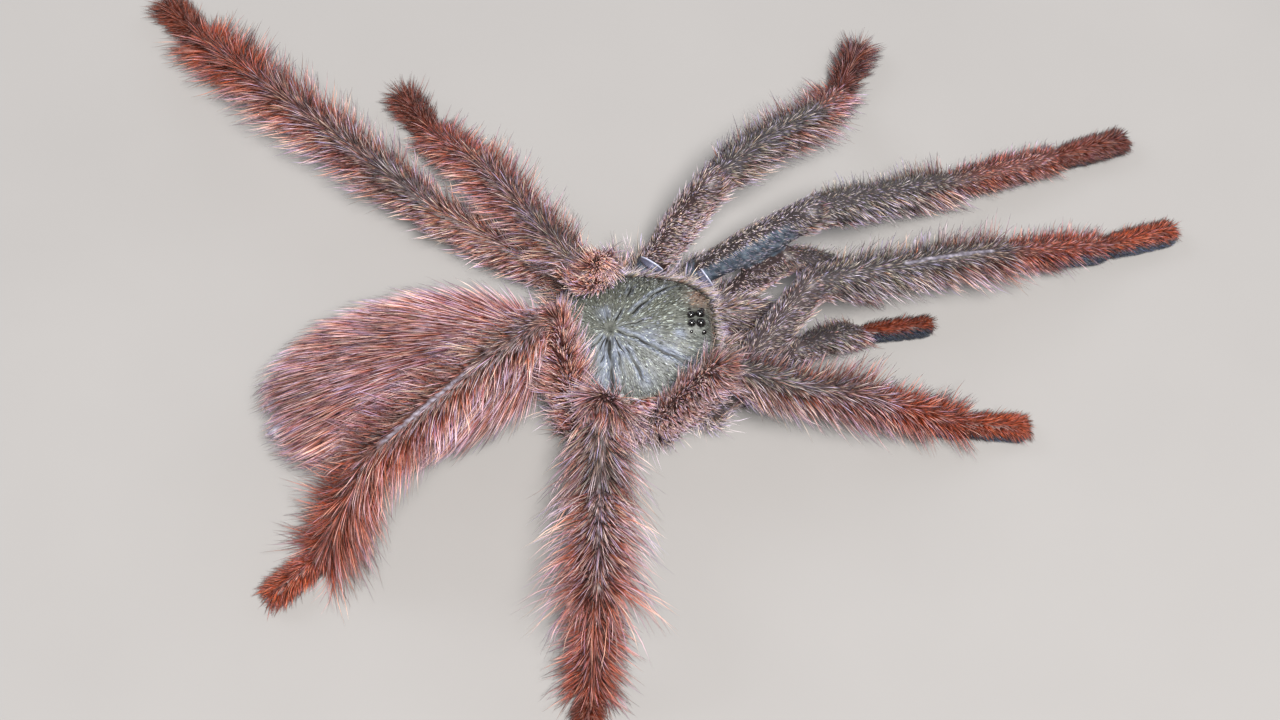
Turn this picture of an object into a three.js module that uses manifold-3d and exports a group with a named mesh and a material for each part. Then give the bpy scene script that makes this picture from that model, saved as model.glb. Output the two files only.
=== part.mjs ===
// Orange tree tarantula, adult female, life size, standing on a flat floor.
// Millimetres. +X is towards the head, +Y the animal's left, +Z up.
// The legs are posed about a point on the floor under the middle of the carapace,
// and the whole group is then moved so that its origin is the middle of the footprint.
// Every solid reaches out to the tips of its coat of hair.

import * as THREE from 'three';
import { mergeVertices } from 'three/addons/utils/BufferGeometryUtils.js';
import createManifold from 'manifold-3d';

// ---------------------------------------------------------------- driving sizes

const GAP = 0.3;                 // clear space between two neighbouring solids
const EYE_GAP = 0.06;            // the same round the tiny eyes
const CUT_BLOCK = 160;           // side of the block that cuts along a plane

const CARAPACE_LENGTH = 16.4;
const CARAPACE_WIDTH = 14.4;
const CARAPACE_MARGIN_Z = 5.5;   // height of its edge
const CARAPACE_RISE = 3.7;       // edge to the top of the dome
const CARAPACE_EDGE = 1.1;       // depth of the edge band
const HEAD_RISE = 0.7;           // how much higher the head region stands

const ABDOMEN_LENGTH = 27.8;
const ABDOMEN_HALF_WIDTH = 8.9;
const ABDOMEN_HALF_HEIGHT = 7.4;
const ABDOMEN_START = [-9.1, -0.5, 8.7];
const ABDOMEN_YAW = 13;          // degrees that it swings to the animal's right
const ABDOMEN_DROP = 1.2;        // how much lower its rear end lies

const HIP_Z = 4.6;               // height of the joint between coxa and femur
const ANKLE_Z = 1.8;             // height of the joint between metatarsus and tarsus
const TOE_Z = 1.2;

// Leg pairs 1 to 4: the coxa's root, the hip, and the lengths of femur, patella,
// tibia, metatarsus and tarsus.
const PAIRS = {
  1: { root: [4.2, 3.2], hip: [7.0, 7.8], lengths: [16.5, 9.5, 13, 12, 7.7] },
  2: { root: [1.5, 3.6], hip: [2.3, 9.0], lengths: [14, 7.7, 10.5, 10.2, 6.4] },
  3: { root: [-1.4, 3.6], hip: [-2.3, 9.0], lengths: [11.2, 7.7, 10.8, 11.8, 6.2] },
  4: { root: [-4.1, 3.2], hip: [-6.6, 7.9], lengths: [14.5, 7.6, 14, 14.2, 6.3] },
};

// How each leg is held, as [azimuth, pitch] in degrees. Patella and tibia share an
// azimuth, and so do metatarsus and tarsus; the metatarsus falls to the ankle's height.
// coat is the depth of the hair round the tibia.
const LEGS = [
  { side: 'right', pair: 1, femur: [38, 38], shin: [17, -20, -23], foot: 12, coat: 2.5 },
  { side: 'right', pair: 2, femur: [-7, 67], shin: [3, -43, -31], foot: -6, coat: 2.4 },
  { side: 'right', pair: 3, femur: [-125, 73], shin: [-95, -37, 6], foot: -101, coat: 3.2 },
  { side: 'right', pair: 4, femur: [112, 71], shin: [-148, 1, -17], foot: -144, coat: 3.2 },
  { side: 'left', pair: 1, femur: [-4, 49], shin: [31, -36, -38], foot: 15, coat: 1.9 },
  { side: 'left', pair: 2, femur: [18, 63], shin: [44, -17, -33], foot: 62, coat: 2.3 },
  { side: 'left', pair: 3, femur: [-114, 57], shin: [120, -17, -15], foot: 121, coat: 2.5 },
  { side: 'left', pair: 4, femur: [150, 11], shin: [136, 1, -1], foot: 127, coat: 3.0 },
];

const PALP_LENGTHS = [9, 5.5, 7, 7.2];
const PALP_ROOT = [7.0, 2.9, 3.1];
const PALP_HIP = [10.3, 5.8, 3.6];
const PALP_ANKLE_Z = 1.6;
const PALP_TOE_Z = 1.0;
const PALPS = [
  { side: 'right', femur: [12, 50], shin: [36, -35], tibia: 48, foot: 5, coat: 1.3 },
  { side: 'left', femur: [-2, 52], shin: [2, -35], tibia: 8, foot: 14, coat: 1.3 },
];

// Along each limb segment: [fraction of its length, radius of the skin, share of the coat].
const COXA = [[0, 1.45, 0.1], [0.6, 1.6, 0.2], [1, 1.55, 0.25]];
const FEMUR = [[0, 1.55, 0.25], [0.45, 1.75, 0.75], [1, 1.65, 0.85]];
const PATELLA = [[0, 1.65, 0.8], [1, 1.55, 0.95]];
const TIBIA = [[0, 1.55, 0.95], [0.5, 1.6, 1], [1, 1.4, 0.95]];
const METATARSUS = [[0, 1.3, 0.95], [0.55, 1.25, 0.9], [1, 1.15, 0.5]];
const TARSUS = [[0, 1.1, 0.35], [0.75, 1.15, 0.3], [1, 0.95, 0.25]];
const PALP_SCALE = 0.78;         // thickness of a palp beside a leg

const LEG_SIDES = 9;
const PALP_SIDES = 8;

// ------------------------------------------------------------------- materials

const finish = (colour, roughness, metalness = 0) =>
  new THREE.MeshStandardMaterial({ color: colour, roughness, metalness });

const MATERIALS = {
  shell: finish(0x7d7b5c, 0.45, 0.15),
  legCoat: finish(0x9a4a36, 0.85),
  footCoat: finish(0xb8502c, 0.85),
  bodyCoat: finish(0xb0604a, 0.85),
  mouthCoat: finish(0x7d6a58, 0.8),
  skin: finish(0x6f6a6a, 0.6),
  spinner: finish(0xa79a98, 0.7),
  horn: finish(0x1c1412, 0.25),
  eye: finish(0x070709, 0.08),
};

// --------------------------------------------------------------- solid helpers

const library = await createManifold();
library.setup();
const { Manifold, Mesh: ManifoldMesh } = library;

const vector = (point) => new THREE.Vector3(...point);

function toManifold(geometry) {
  const plain = geometry.clone();
  plain.deleteAttribute('normal');
  plain.deleteAttribute('uv');
  const merged = mergeVertices(plain, 1e-5);
  return new Manifold(new ManifoldMesh({
    numProp: 3,
    vertProperties: Float32Array.from(merged.attributes.position.array),
    triVerts: Uint32Array.from(merged.index.array),
  }));
}

function toGeometry(solid) {
  const mesh = solid.getMesh();
  const geometry = new THREE.BufferGeometry();
  geometry.setAttribute('position', new THREE.BufferAttribute(mesh.vertProperties, 3));
  geometry.setIndex(new THREE.BufferAttribute(mesh.triVerts, 1));
  geometry.computeVertexNormals();
  return geometry;
}

// A closed skin over rings of points, each ring seen counterclockwise from the last one.
function skinOver(rings, first, last) {
  const sides = rings[0].length;
  const points = [first, ...rings.flat(), last];
  const faces = [];
  const at = (ring, k) => 1 + ring * sides + (k % sides);
  for (let k = 0; k < sides; k += 1) {
    faces.push(0, at(0, k + 1), at(0, k));
    faces.push(points.length - 1, at(rings.length - 1, k), at(rings.length - 1, k + 1));
    for (let ring = 0; ring + 1 < rings.length; ring += 1) {
      faces.push(at(ring, k), at(ring, k + 1), at(ring + 1, k + 1));
      faces.push(at(ring, k), at(ring + 1, k + 1), at(ring + 1, k));
    }
  }
  const geometry = new THREE.BufferGeometry();
  geometry.setAttribute('position', new THREE.Float32BufferAttribute(points.flatMap((p) => p.toArray()), 3));
  geometry.setIndex(faces);
  return geometry;
}

// A limb along a path of two or three points, with domed ends. stations holds
// [place, half width, half height]: place counts segments, so 0.5 is the middle of the
// first and 1 the bend between the first and the second, where the ring is mitred.
function limb(path, stations, sides) {
  const ways = path.slice(1).map((point, k) => point.clone().sub(path[k]).normalize());
  const ring = (centre, along, width, height) => {
    const across = new THREE.Vector3().crossVectors(new THREE.Vector3(0, 0, 1), along).normalize();
    const upward = new THREE.Vector3().crossVectors(along, across);
    return Array.from({ length: sides }, (_, k) => {
      const turn = (2 * Math.PI * (k + 0.5)) / sides;
      return centre.clone()
        .addScaledVector(across, width * Math.cos(turn))
        .addScaledVector(upward, height * Math.sin(turn));
    });
  };
  const stationRing = ([place, width, height]) => {
    const segment = Math.min(Math.floor(place), ways.length - 1);
    const centre = path[segment].clone().lerp(path[segment + 1], place - segment);
    if (place !== segment || segment === 0) return ring(centre, ways[segment], width, height);
    const halfway = ways[segment - 1].clone().add(ways[segment]).normalize();
    return ring(centre, halfway, width, height / halfway.dot(ways[segment]));
  };
  const dome = ([, width, height], point, along) => {
    const depth = Math.min(width, height);
    const centre = point.clone().addScaledVector(along, depth * Math.SQRT1_2);
    return {
      ring: (way) => ring(centre, way, width * Math.SQRT1_2, height * Math.SQRT1_2),
      pole: point.clone().addScaledVector(along, depth),
    };
  };
  const lastWay = ways[ways.length - 1];
  const start = dome(stations[0], path[0], ways[0].clone().negate());
  const end = dome(stations[stations.length - 1], path[path.length - 1], lastWay);
  const rings = [start.ring(ways[0]), ...stations.map(stationRing), end.ring(lastWay)];
  return toManifold(skinOver(rings, start.pole, end.pole));
}

// Cuts away what lies beyond the plane through a point, on the side its normal points to.
function cutBeyond(solid, point, normal, offset) {
  const block = new THREE.BoxGeometry(CUT_BLOCK, CUT_BLOCK, CUT_BLOCK);
  const turn = new THREE.Quaternion().setFromUnitVectors(new THREE.Vector3(0, 0, 1), normal);
  block.applyQuaternion(turn);
  const centre = point.clone().addScaledVector(normal, offset + CUT_BLOCK / 2);
  block.translate(centre.x, centre.y, centre.z);
  return solid.subtract(toManifold(block));
}

function aboveFloor(solid) {
  return cutBeyond(solid, new THREE.Vector3(), new THREE.Vector3(0, 0, -1), 0);
}

function ball(centre, radii, across, down) {
  const geometry = new THREE.SphereGeometry(1, across, down);
  geometry.rotateX(Math.PI / 2);
  geometry.scale(...radii);
  geometry.translate(...centre);
  return toManifold(geometry);
}

// ------------------------------------------------------------- the way legs run

function direction(azimuth, pitch) {
  const turn = THREE.MathUtils.degToRad(azimuth);
  const rise = THREE.MathUtils.degToRad(pitch);
  return new THREE.Vector3(
    Math.cos(turn) * Math.cos(rise),
    Math.sin(turn) * Math.cos(rise),
    Math.sin(rise),
  );
}

// The point reached from another at a given height, over a segment of a given length.
function fallTo(point, length, azimuth, height) {
  const pitch = THREE.MathUtils.radToDeg(Math.asin((height - point.z) / length));
  return point.clone().addScaledVector(direction(azimuth, pitch), length);
}

const sideSign = (side) => (side === 'left' ? 1 : -1);

function legJoints(leg) {
  const { root, hip, lengths } = PAIRS[leg.pair];
  const sign = sideSign(leg.side);
  const [shinAzimuth, patellaPitch, tibiaPitch] = leg.shin;
  const coxa = vector([root[0], sign * root[1], HIP_Z - 1.2]);
  const hipPoint = vector([hip[0], sign * hip[1], HIP_Z]);
  const knee = hipPoint.clone().addScaledVector(direction(...leg.femur), lengths[0]);
  const shin = knee.clone().addScaledVector(direction(shinAzimuth, patellaPitch), lengths[1]);
  const heel = shin.clone().addScaledVector(direction(shinAzimuth, tibiaPitch), lengths[2]);
  const ankle = fallTo(heel, lengths[3], leg.foot, ANKLE_Z);
  const toe = fallTo(ankle, lengths[4], leg.foot, TOE_Z);
  return { coxa, hip: hipPoint, knee, shin, heel, ankle, toe };
}

function palpJoints(palp) {
  const sign = sideSign(palp.side);
  const coxa = vector([PALP_ROOT[0], sign * PALP_ROOT[1], PALP_ROOT[2]]);
  const hip = vector([PALP_HIP[0], sign * PALP_HIP[1], PALP_HIP[2]]);
  const knee = hip.clone().addScaledVector(direction(...palp.femur), PALP_LENGTHS[0]);
  const shin = knee.clone().addScaledVector(direction(...palp.shin), PALP_LENGTHS[1]);
  const ankle = fallTo(shin, PALP_LENGTHS[2], palp.tibia, PALP_ANKLE_Z);
  const toe = fallTo(ankle, PALP_LENGTHS[3], palp.foot, PALP_TOE_Z);
  return { coxa, hip, knee, shin, ankle, toe };
}

// -------------------------------------------------------------------- the parts

// Each part is { name, material, build(grow) }: grow makes the copy that is a gap
// larger, which is cut out of the later parts so that no two solids touch.
const parts = [];
const add = (name, material, build) => parts.push({ name, material, build });

// The solid of one or two limb segments, each with its own profile. Where two meet, the
// second profile's first ring is the mitred one.
function limbSolid(path, profiles, coat, thickness, sides, grow) {
  const stations = profiles.flatMap((profile, segment) =>
    profile
      .filter(([fraction]) => fraction < 1 || segment === profiles.length - 1)
      .map(([fraction, skin, share]) => {
        const radius = thickness * skin + coat * share + grow;
        return [segment + fraction, radius, radius];
      }));
  return limb(path, stations, sides);
}

// Parts a limb at a joint, on the plane that halves the bend.
function partAt(solid, before, joint, after, side, grow) {
  const arriving = joint.clone().sub(before).normalize();
  const leaving = after.clone().sub(joint).normalize();
  const normal = arriving.add(leaving).normalize().multiplyScalar(side);
  return cutBeyond(solid, joint, normal, grow - GAP / 2);
}

const NEAR_SIDE = 1;
const FAR_SIDE = -1;

function addLeg(leg) {
  const { coxa, hip, knee, shin, heel, ankle, toe } = legJoints(leg);
  const name = `leg_${leg.side}_${leg.pair}`;
  const piece = (path, profiles, grow) => limbSolid(path, profiles, leg.coat, 1, LEG_SIDES, grow);
  add(`${name}_coxa`, MATERIALS.skin, (grow) =>
    partAt(piece([coxa, hip], [COXA], grow), coxa, hip, knee, NEAR_SIDE, grow));
  add(`${name}_femur`, MATERIALS.legCoat, (grow) => {
    const solid = partAt(piece([hip, knee], [FEMUR], grow), coxa, hip, knee, FAR_SIDE, grow);
    return partAt(solid, hip, knee, shin, NEAR_SIDE, grow);
  });
  add(`${name}_tibia`, MATERIALS.legCoat, (grow) => {
    const both = piece([knee, shin, heel], [PATELLA, TIBIA], grow);
    return partAt(partAt(both, hip, knee, shin, FAR_SIDE, grow), shin, heel, ankle, NEAR_SIDE, grow);
  });
  add(`${name}_foot`, MATERIALS.footCoat, (grow) => {
    const both = piece([heel, ankle, toe], [METATARSUS, TARSUS], grow);
    return aboveFloor(partAt(both, shin, heel, ankle, FAR_SIDE, grow));
  });
}

function addPalp(palp) {
  const { coxa, hip, knee, shin, ankle, toe } = palpJoints(palp);
  const name = `palp_${palp.side}`;
  const piece = (path, profiles, grow) =>
    limbSolid(path, profiles, palp.coat, PALP_SCALE, PALP_SIDES, grow);
  add(`${name}_coxa`, MATERIALS.skin, (grow) =>
    partAt(piece([coxa, hip], [COXA], grow), coxa, hip, knee, NEAR_SIDE, grow));
  add(`${name}_femur`, MATERIALS.legCoat, (grow) => {
    const solid = partAt(piece([hip, knee], [FEMUR], grow), coxa, hip, knee, FAR_SIDE, grow);
    return partAt(solid, hip, knee, shin, NEAR_SIDE, grow);
  });
  add(`${name}_tibia`, MATERIALS.legCoat, (grow) => {
    const both = piece([knee, shin, ankle], [PATELLA, TIBIA], grow);
    const parted = partAt(both, hip, knee, shin, FAR_SIDE, grow);
    return aboveFloor(partAt(parted, shin, ankle, toe, NEAR_SIDE, grow));
  });
  add(`${name}_tarsus`, MATERIALS.footCoat, (grow) =>
    aboveFloor(partAt(piece([ankle, toe], [TARSUS], grow), shin, ankle, toe, FAR_SIDE, grow)));
}

// ---------------------------------------------------------------- carapace, eyes

const TUBERCLE = [6.1, 0, 9.05];
const TUBERCLE_RADII = [1.3, 1.5, 1.0];

// One side's four eyes: [forward of the tubercle, out from the middle, above it, radius].
const EYES = {
  front_middle: [0.42, 0.5, 0.84, 0.46],
  front_side: [0.68, 1.2, 0.16, 0.28],
  rear_side: [-0.55, 1.15, 0.38, 0.26],
  rear_middle: [-0.47, 0.46, 0.86, 0.39],
};

// The carapace seen from above is an oval with a squared, narrower front; share runs
// from its middle (0) to its edge (1).
function carapacePoint(share, turn, grow) {
  const forward = Math.cos(turn);
  const sideways = Math.sin(turn);
  const square = 0.84 - 0.34 * Math.max(0, forward);
  const x = (CARAPACE_LENGTH / 2 + grow) * Math.sign(forward) * Math.abs(forward) ** square;
  const taper = 1 - 0.18 * forward - 0.07 * forward * forward;
  const y = (CARAPACE_WIDTH / 2 + grow) * taper * Math.sign(sideways) * Math.abs(sideways) ** square;
  return [share * x, share * y];
}

function carapaceTop(share, turn) {
  const front = Math.max(0, Math.cos(turn));
  const fall = 0.62 - 0.3 * front;
  const dome = Math.max(0, 1 - share ** 2.4) ** fall;
  const head = HEAD_RISE * Math.sin(Math.PI * Math.min(1, share * 0.85)) * front ** 2;
  return CARAPACE_MARGIN_Z + CARAPACE_RISE * dome + head;
}

function carapaceBody(grow) {
  const sides = 26;
  const ring = (share, heightAt) => Array.from({ length: sides }, (_, k) => {
    const turn = (2 * Math.PI * k) / sides;
    const [x, y] = carapacePoint(share, turn, grow);
    return new THREE.Vector3(x, y, heightAt(turn));
  });
  const under = CARAPACE_MARGIN_Z - CARAPACE_EDGE - grow;
  const rings = [
    ring(0.9, () => under),
    ring(1, () => CARAPACE_MARGIN_Z - CARAPACE_EDGE / 2),
    ...[1, 0.93, 0.78, 0.55, 0.28].map((share) => ring(share, (turn) => carapaceTop(share, turn) + grow)),
  ];
  const lowest = new THREE.Vector3(0, 0, under);
  const highest = new THREE.Vector3(0, 0, carapaceTop(0, 0) + grow);
  return toManifold(skinOver(rings, lowest, highest));
}

const eyePlaces = Object.entries(EYES).flatMap(([name, [forward, out, above, radius]]) =>
  ['right', 'left'].map((side) => ({
    name: `eye_${name}_${side}`,
    centre: [TUBERCLE[0] + forward, sideSign(side) * out, TUBERCLE[2] + above],
    radius,
  })));

const eyeBall = (centre, radius) => ball(centre, Array(3).fill(radius), 7, 5);

function addCarapace() {
  add('carapace', MATERIALS.shell, (grow) => {
    const tubercle = ball(TUBERCLE, TUBERCLE_RADII.map((radius) => radius + grow), 10, 6);
    const whole = carapaceBody(grow).add(tubercle);
    if (grow > 0) return whole;
    return eyePlaces.reduce((solid, { centre, radius }) =>
      solid.subtract(eyeBall(centre, radius + EYE_GAP)), whole);
  });
}

// -------------------------------------------------------- trunk, mouth, abdomen

function addTrunk() {
  add('sternum', MATERIALS.skin, (grow) =>
    ball([-0.4, 0, 2.9], [6.3 + grow, 3.6 + grow, 1.25 + grow], 12, 8));
  add('pedicel', MATERIALS.skin, (grow) => {
    const stations = [[0, 1.5 + grow, 1.5 + grow], [1, 1.5 + grow, 1.5 + grow]];
    return limb([vector([-7.2, 0, 4.4]), vector([-9.4, 0, 5.6])], stations, 8);
  });
}

const abdomenAxis = direction(180 + ABDOMEN_YAW, 0);

function abdomenCentre(share) {
  return vector(ABDOMEN_START)
    .addScaledVector(abdomenAxis, share * ABDOMEN_LENGTH)
    .add(new THREE.Vector3(0, 0, -ABDOMEN_DROP * share));
}

// How full the abdomen is at a share of its length, widest a little behind the middle.
function abdomenFullness(share) {
  const turned = share ** 1.08;
  return Math.max(0, 1 - (2 * turned - 1) ** 2) ** 0.46;
}

function addAbdomen() {
  add('abdomen', MATERIALS.bodyCoat, (grow) => {
    const sides = 18;
    const across = new THREE.Vector3().crossVectors(new THREE.Vector3(0, 0, 1), abdomenAxis);
    const rings = [0.025, 0.09, 0.2, 0.34, 0.5, 0.66, 0.8, 0.91, 0.975].map((share) => {
      const width = ABDOMEN_HALF_WIDTH * abdomenFullness(share) + grow;
      const height = ABDOMEN_HALF_HEIGHT * abdomenFullness(share) + grow;
      return Array.from({ length: sides }, (_, k) => {
        const turn = (2 * Math.PI * k) / sides;
        return abdomenCentre(share)
          .addScaledVector(across, width * Math.cos(turn))
          .add(new THREE.Vector3(0, 0, height * Math.sin(turn)));
      });
    });
    const front = abdomenCentre(0).addScaledVector(abdomenAxis, -grow);
    const rear = abdomenCentre(1).addScaledVector(abdomenAxis, grow);
    return toManifold(skinOver(rings, front, rear));
  });
}

function addSpinnerets() {
  for (const side of ['right', 'left']) {
    const out = sideSign(side) * 1.35;
    add(`spinneret_${side}`, MATERIALS.spinner, (grow) => {
      const start = abdomenCentre(0.93).add(new THREE.Vector3(0, out, 0.2));
      const end = start.clone().addScaledVector(direction(180 + ABDOMEN_YAW - 8 * out, 4), 2.6);
      return limb([start, end], [[0, 0.9 + grow, 0.9 + grow], [1, 0.65 + grow, 0.65 + grow]], 8);
    });
  }
}

function addChelicerae() {
  for (const side of ['right', 'left']) {
    const sign = sideSign(side);
    add(`chelicera_${side}`, MATERIALS.mouthCoat, (grow) => {
      const stations = [
        [0, 1.9 + grow, 2.5 + grow],
        [0.5, 2.05 + grow, 2.85 + grow],
        [1, 1.65 + grow, 2.2 + grow],
      ];
      return limb([vector([8.6, sign * 2.2, 5.9]), vector([13.8, sign * 2.2, 4.9])], stations, 10);
    });
  }
  for (const side of ['right', 'left']) {
    const sign = sideSign(side);
    add(`fang_${side}`, MATERIALS.horn, (grow) => {
      const knuckle = vector([14.3, sign * 2.1, 2.2]);
      const middle = vector([12.4, sign * 1.9, 1.3]);
      const tip = vector([10.4, sign * 1.8, 1.0]);
      const radii = [[0, 0.7], [1, 0.5], [2, 0.25]];
      const stations = radii.map(([place, radius]) => [place, radius + grow, radius + grow]);
      return limb([knuckle, middle, tip], stations, 7);
    });
  }
}

// -------------------------------------------------------------------- assembly

addCarapace();
addTrunk();
addAbdomen();
addChelicerae();
LEGS.forEach(addLeg);
PALPS.forEach(addPalp);
addSpinnerets();

const boxOf = (solid) => {
  const { min, max } = solid.boundingBox();
  return new THREE.Box3(vector(min), vector(max));
};

// The largest body of a solid, so that a cut never leaves a loose crumb behind.
function mainBody(solid) {
  return solid.decompose().reduce((best, next) => (next.volume() > best.volume() ? next : best));
}

// Two neighbours along one limb are already parted by their joint plane.
function isNextAlongLimb(first, second) {
  const limbOf = (name) => name.split('_').slice(0, -1).join('_');
  const order = ['coxa', 'femur', 'tibia', 'foot', 'tarsus'];
  const place = (name) => order.indexOf(name.split('_').pop());
  const sameLimb = place(first) >= 0 && place(second) >= 0 && limbOf(first) === limbOf(second);
  return sameLimb && Math.abs(place(first) - place(second)) <= 1;
}

const tarantula = new THREE.Group();
tarantula.name = 'tarantula';

const placed = [];
for (const part of parts) {
  let solid = part.build(0);
  for (const other of placed) {
    if (isNextAlongLimb(part.name, other.name)) continue;
    if (!boxOf(solid).intersectsBox(other.box)) continue;
    solid = solid.subtract(other.grown);
  }
  const grown = part.build(GAP);
  placed.push({ name: part.name, grown, box: boxOf(grown) });
  const mesh = new THREE.Mesh(toGeometry(mainBody(solid)), part.material);
  mesh.name = part.name;
  tarantula.add(mesh);
}

for (const { name, centre, radius } of eyePlaces) {
  const mesh = new THREE.Mesh(toGeometry(eyeBall(centre, radius)), MATERIALS.eye);
  mesh.name = name;
  tarantula.add(mesh);
}

const footprint = new THREE.Box3().setFromObject(tarantula);
const middle = footprint.getCenter(new THREE.Vector3());
tarantula.position.set(-middle.x, -middle.y, -footprint.min.z);

export default tarantula;
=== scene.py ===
import math

import bmesh
import bpy
import numpy as np
from mathutils import Matrix, Vector


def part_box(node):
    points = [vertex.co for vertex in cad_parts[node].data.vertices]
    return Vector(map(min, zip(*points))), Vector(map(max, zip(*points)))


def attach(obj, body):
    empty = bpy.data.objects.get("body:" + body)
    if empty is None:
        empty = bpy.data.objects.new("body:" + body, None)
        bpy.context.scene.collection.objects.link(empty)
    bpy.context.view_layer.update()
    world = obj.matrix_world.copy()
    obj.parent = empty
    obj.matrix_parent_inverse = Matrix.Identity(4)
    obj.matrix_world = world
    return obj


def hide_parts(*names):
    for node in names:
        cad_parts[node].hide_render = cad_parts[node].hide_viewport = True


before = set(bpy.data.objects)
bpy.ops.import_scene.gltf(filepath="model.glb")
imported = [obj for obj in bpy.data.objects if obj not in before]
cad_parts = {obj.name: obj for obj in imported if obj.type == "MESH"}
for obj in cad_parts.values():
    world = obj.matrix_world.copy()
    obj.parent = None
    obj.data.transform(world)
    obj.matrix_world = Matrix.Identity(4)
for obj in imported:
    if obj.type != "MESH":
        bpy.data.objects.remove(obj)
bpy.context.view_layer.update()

MM = 0.001
rng = np.random.default_rng(17)

# ------------------------------------------------------------------ driving sizes

CARAPACE_LENGTH = 16.4
CARAPACE_WIDTH = 14.4
CARAPACE_MARGIN_Z = 5.5          # the height of its edge
CARAPACE_RISE = 3.7              # the dome above the edge
CARAPACE_EDGE = 1.1              # the plate's depth below it
HEAD_RISE = 0.7
FOVEA_X = -2.4                   # the pit that the grooves ray out from
TUBERCLE = np.array([6.1, 0.0, 9.05])             # the mound under the eyes
TUBERCLE_RADII = np.array([1.3, 1.5, 1.0])

HIP_Z = 4.6
COXA_DROP = 1.2                  # how far the coxa's root lies below the hip
ANKLE_Z = 1.8
TOE_Z = 1.2

# Pairs 1 to 4: the coxa's root, the hip, and the lengths of femur, patella, tibia,
# metatarsus and tarsus.
PAIRS = {
    1: {"root": (4.2, 3.2), "hip": (7.0, 7.8), "lengths": (16.5, 9.5, 13, 12, 7.7)},
    2: {"root": (1.5, 3.6), "hip": (2.3, 9.0), "lengths": (14, 7.7, 10.5, 10.2, 6.4)},
    3: {"root": (-1.4, 3.6), "hip": (-2.3, 9.0), "lengths": (11.2, 7.7, 10.8, 11.8, 6.2)},
    4: {"root": (-4.1, 3.2), "hip": (-6.6, 7.9), "lengths": (14.5, 7.6, 14, 14.2, 6.3)},
}

# A limb's own colouring, where its table below doesn't say: how grey the coat is, where
# 0 is all rust; how orange the foot; how bare the line on the tibia; how far the foot is
# rolled, so that its pad shows, in radians; and the shade, a brightness for the whole
# limb: less than 1 is painted shade on a leg that lay in shadow, more than 1 lightens its tone.
OWN = {"grey": 0.8, "orange": 0.0, "line": 0.0, "roll": 0.0, "shade": 1.0}

# How each leg is held, in degrees: azimuth and pitch of the femur; azimuth of the shin
# with the pitches of patella and tibia; azimuth of the foot. Then the coat's depth on the
# tibia, the metatarsus and the tarsus, and the leg's own colouring.
LEGS = {
    "right_1": {"femur": (38, 38), "shin": (17, -20, -23), "foot": 12,
                "coats": (2.4, 2.3, 1.3), "grey": 0.8, "orange": 0.85, "line": 0.8, "roll": 0.9},
    # right_2 carries painted shade (0.82): the leg lay in shadow.
    "right_2": {"femur": (-7, 67), "shin": (3, -43, -31), "foot": -6,
                "coats": (2.9, 3.2, 1.4), "grey": 0.3, "orange": 1.0, "roll": 0.6, "shade": 0.82},
    "right_3": {"femur": (-125, 73), "shin": (-95, -37, 6), "foot": -101,
                "coats": (4.2, 3.8, 2.0), "grey": 0.2, "orange": 0.9, "line": 0.35},
    "right_4": {"femur": (112, 71), "shin": (-148, 1, -17), "foot": -144,
                "coats": (3.3, 5.6, 1.8), "grey": 0.05, "orange": 0.9, "line": 0.8, "shade": 1.1},
    "left_1": {"femur": (-4, 49), "shin": (31, -36, -38), "foot": 15,
               "coats": (1.9, 1.7, 1.4), "grey": 1.0, "orange": 0.5, "roll": 0.2},
    "left_2": {"femur": (18, 63), "shin": (44, -17, -33), "foot": 62,
               "coats": (2.3, 2.7, 2.6), "grey": 0.7, "orange": 0.3},
    "left_3": {"femur": (-114, 57), "shin": (120, -17, -15), "foot": 121,
               "coats": (2.6, 3.0, 2.4), "grey": 0.15, "orange": 0.75, "shade": 1.12},
    "left_4": {"femur": (150, 11), "shin": (136, 1, -1), "foot": 127,
               "coats": (3.0, 4.2, 2.4), "grey": 0.2, "orange": 1.0, "shade": 1.12},
}

PALP_LENGTHS = (9, 5.5, 7, 7.2)          # femur, patella, tibia and tarsus
PALP_ROOT = (7.0, 2.9, 3.1)
PALP_HIP = (10.3, 5.8, 3.6)
PALP_ANKLE_Z = 1.6
PALP_TOE_Z = 1.0
PALP_SCALE = 0.78
PALPS = {
    "right": {"femur": (12, 50), "shin": (36, -35), "tibia": 48, "foot": 5,
              "coats": (1.4, 1.4, 1.2), "orange": 1.0, "roll": 1.2},
    "left": {"femur": (-2, 52), "shin": (2, -35), "tibia": 8, "foot": 14,
             "coats": (1.4, 1.4, 1.2), "orange": 1.0, "roll": 0.6},
}

ABDOMEN_LENGTH = 27.2
ABDOMEN_START = (-9.1, -0.5, 8.7)
ABDOMEN_YAW = 13                 # how far its tip is turned to the right, in degrees
ABDOMEN_DROP = 1.2               # how far its tip lies below its start
ABDOMEN_SKIN = (7.4, 6.3)        # half width and half height under the coat

# Skin radii of the limb segments at the start, the middle and the end; which of the
# leg's three coats each segment carries; and the share of it at those places.
SEGMENTS = {
    "coxa": ((1.45, 1.6, 1.5), 0, (0.65, 0.9, 0.9)),
    "femur": ((1.35, 1.8, 1.55), 0, (0.55, 0.65, 0.6)),
    "patella": ((1.4, 1.7, 1.5), 0, (0.5, 0.85, 1.0)),
    "tibia": ((1.35, 1.6, 1.4), 0, (0.85, 1.0, 1.0)),
    "metatarsus": ((1.15, 1.3, 1.2), 1, (1.0, 1.05, 0.9)),
    "tarsus": ((0.85, 1.1, 1.1), 2, (0.7, 1.0, 1.1)),
}
LEG_KINDS = ("coxa", "femur", "patella", "tibia", "metatarsus", "tarsus")
PALP_KINDS = ("coxa", "femur", "patella", "tibia", "tarsus")
KINDS = (*LEG_KINDS, "chelicera", "spinneret", "abdomen", "trunk")

# The frame's own place: the pose above is told from the middle of the carapace.
carapace_low, carapace_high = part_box("carapace")
carapace_middle = (carapace_low + carapace_high) / 2 / MM
HOME = np.array([carapace_middle.x, carapace_middle.y, 0.0])


# --------------------------------------------------------------------- the pose


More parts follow.
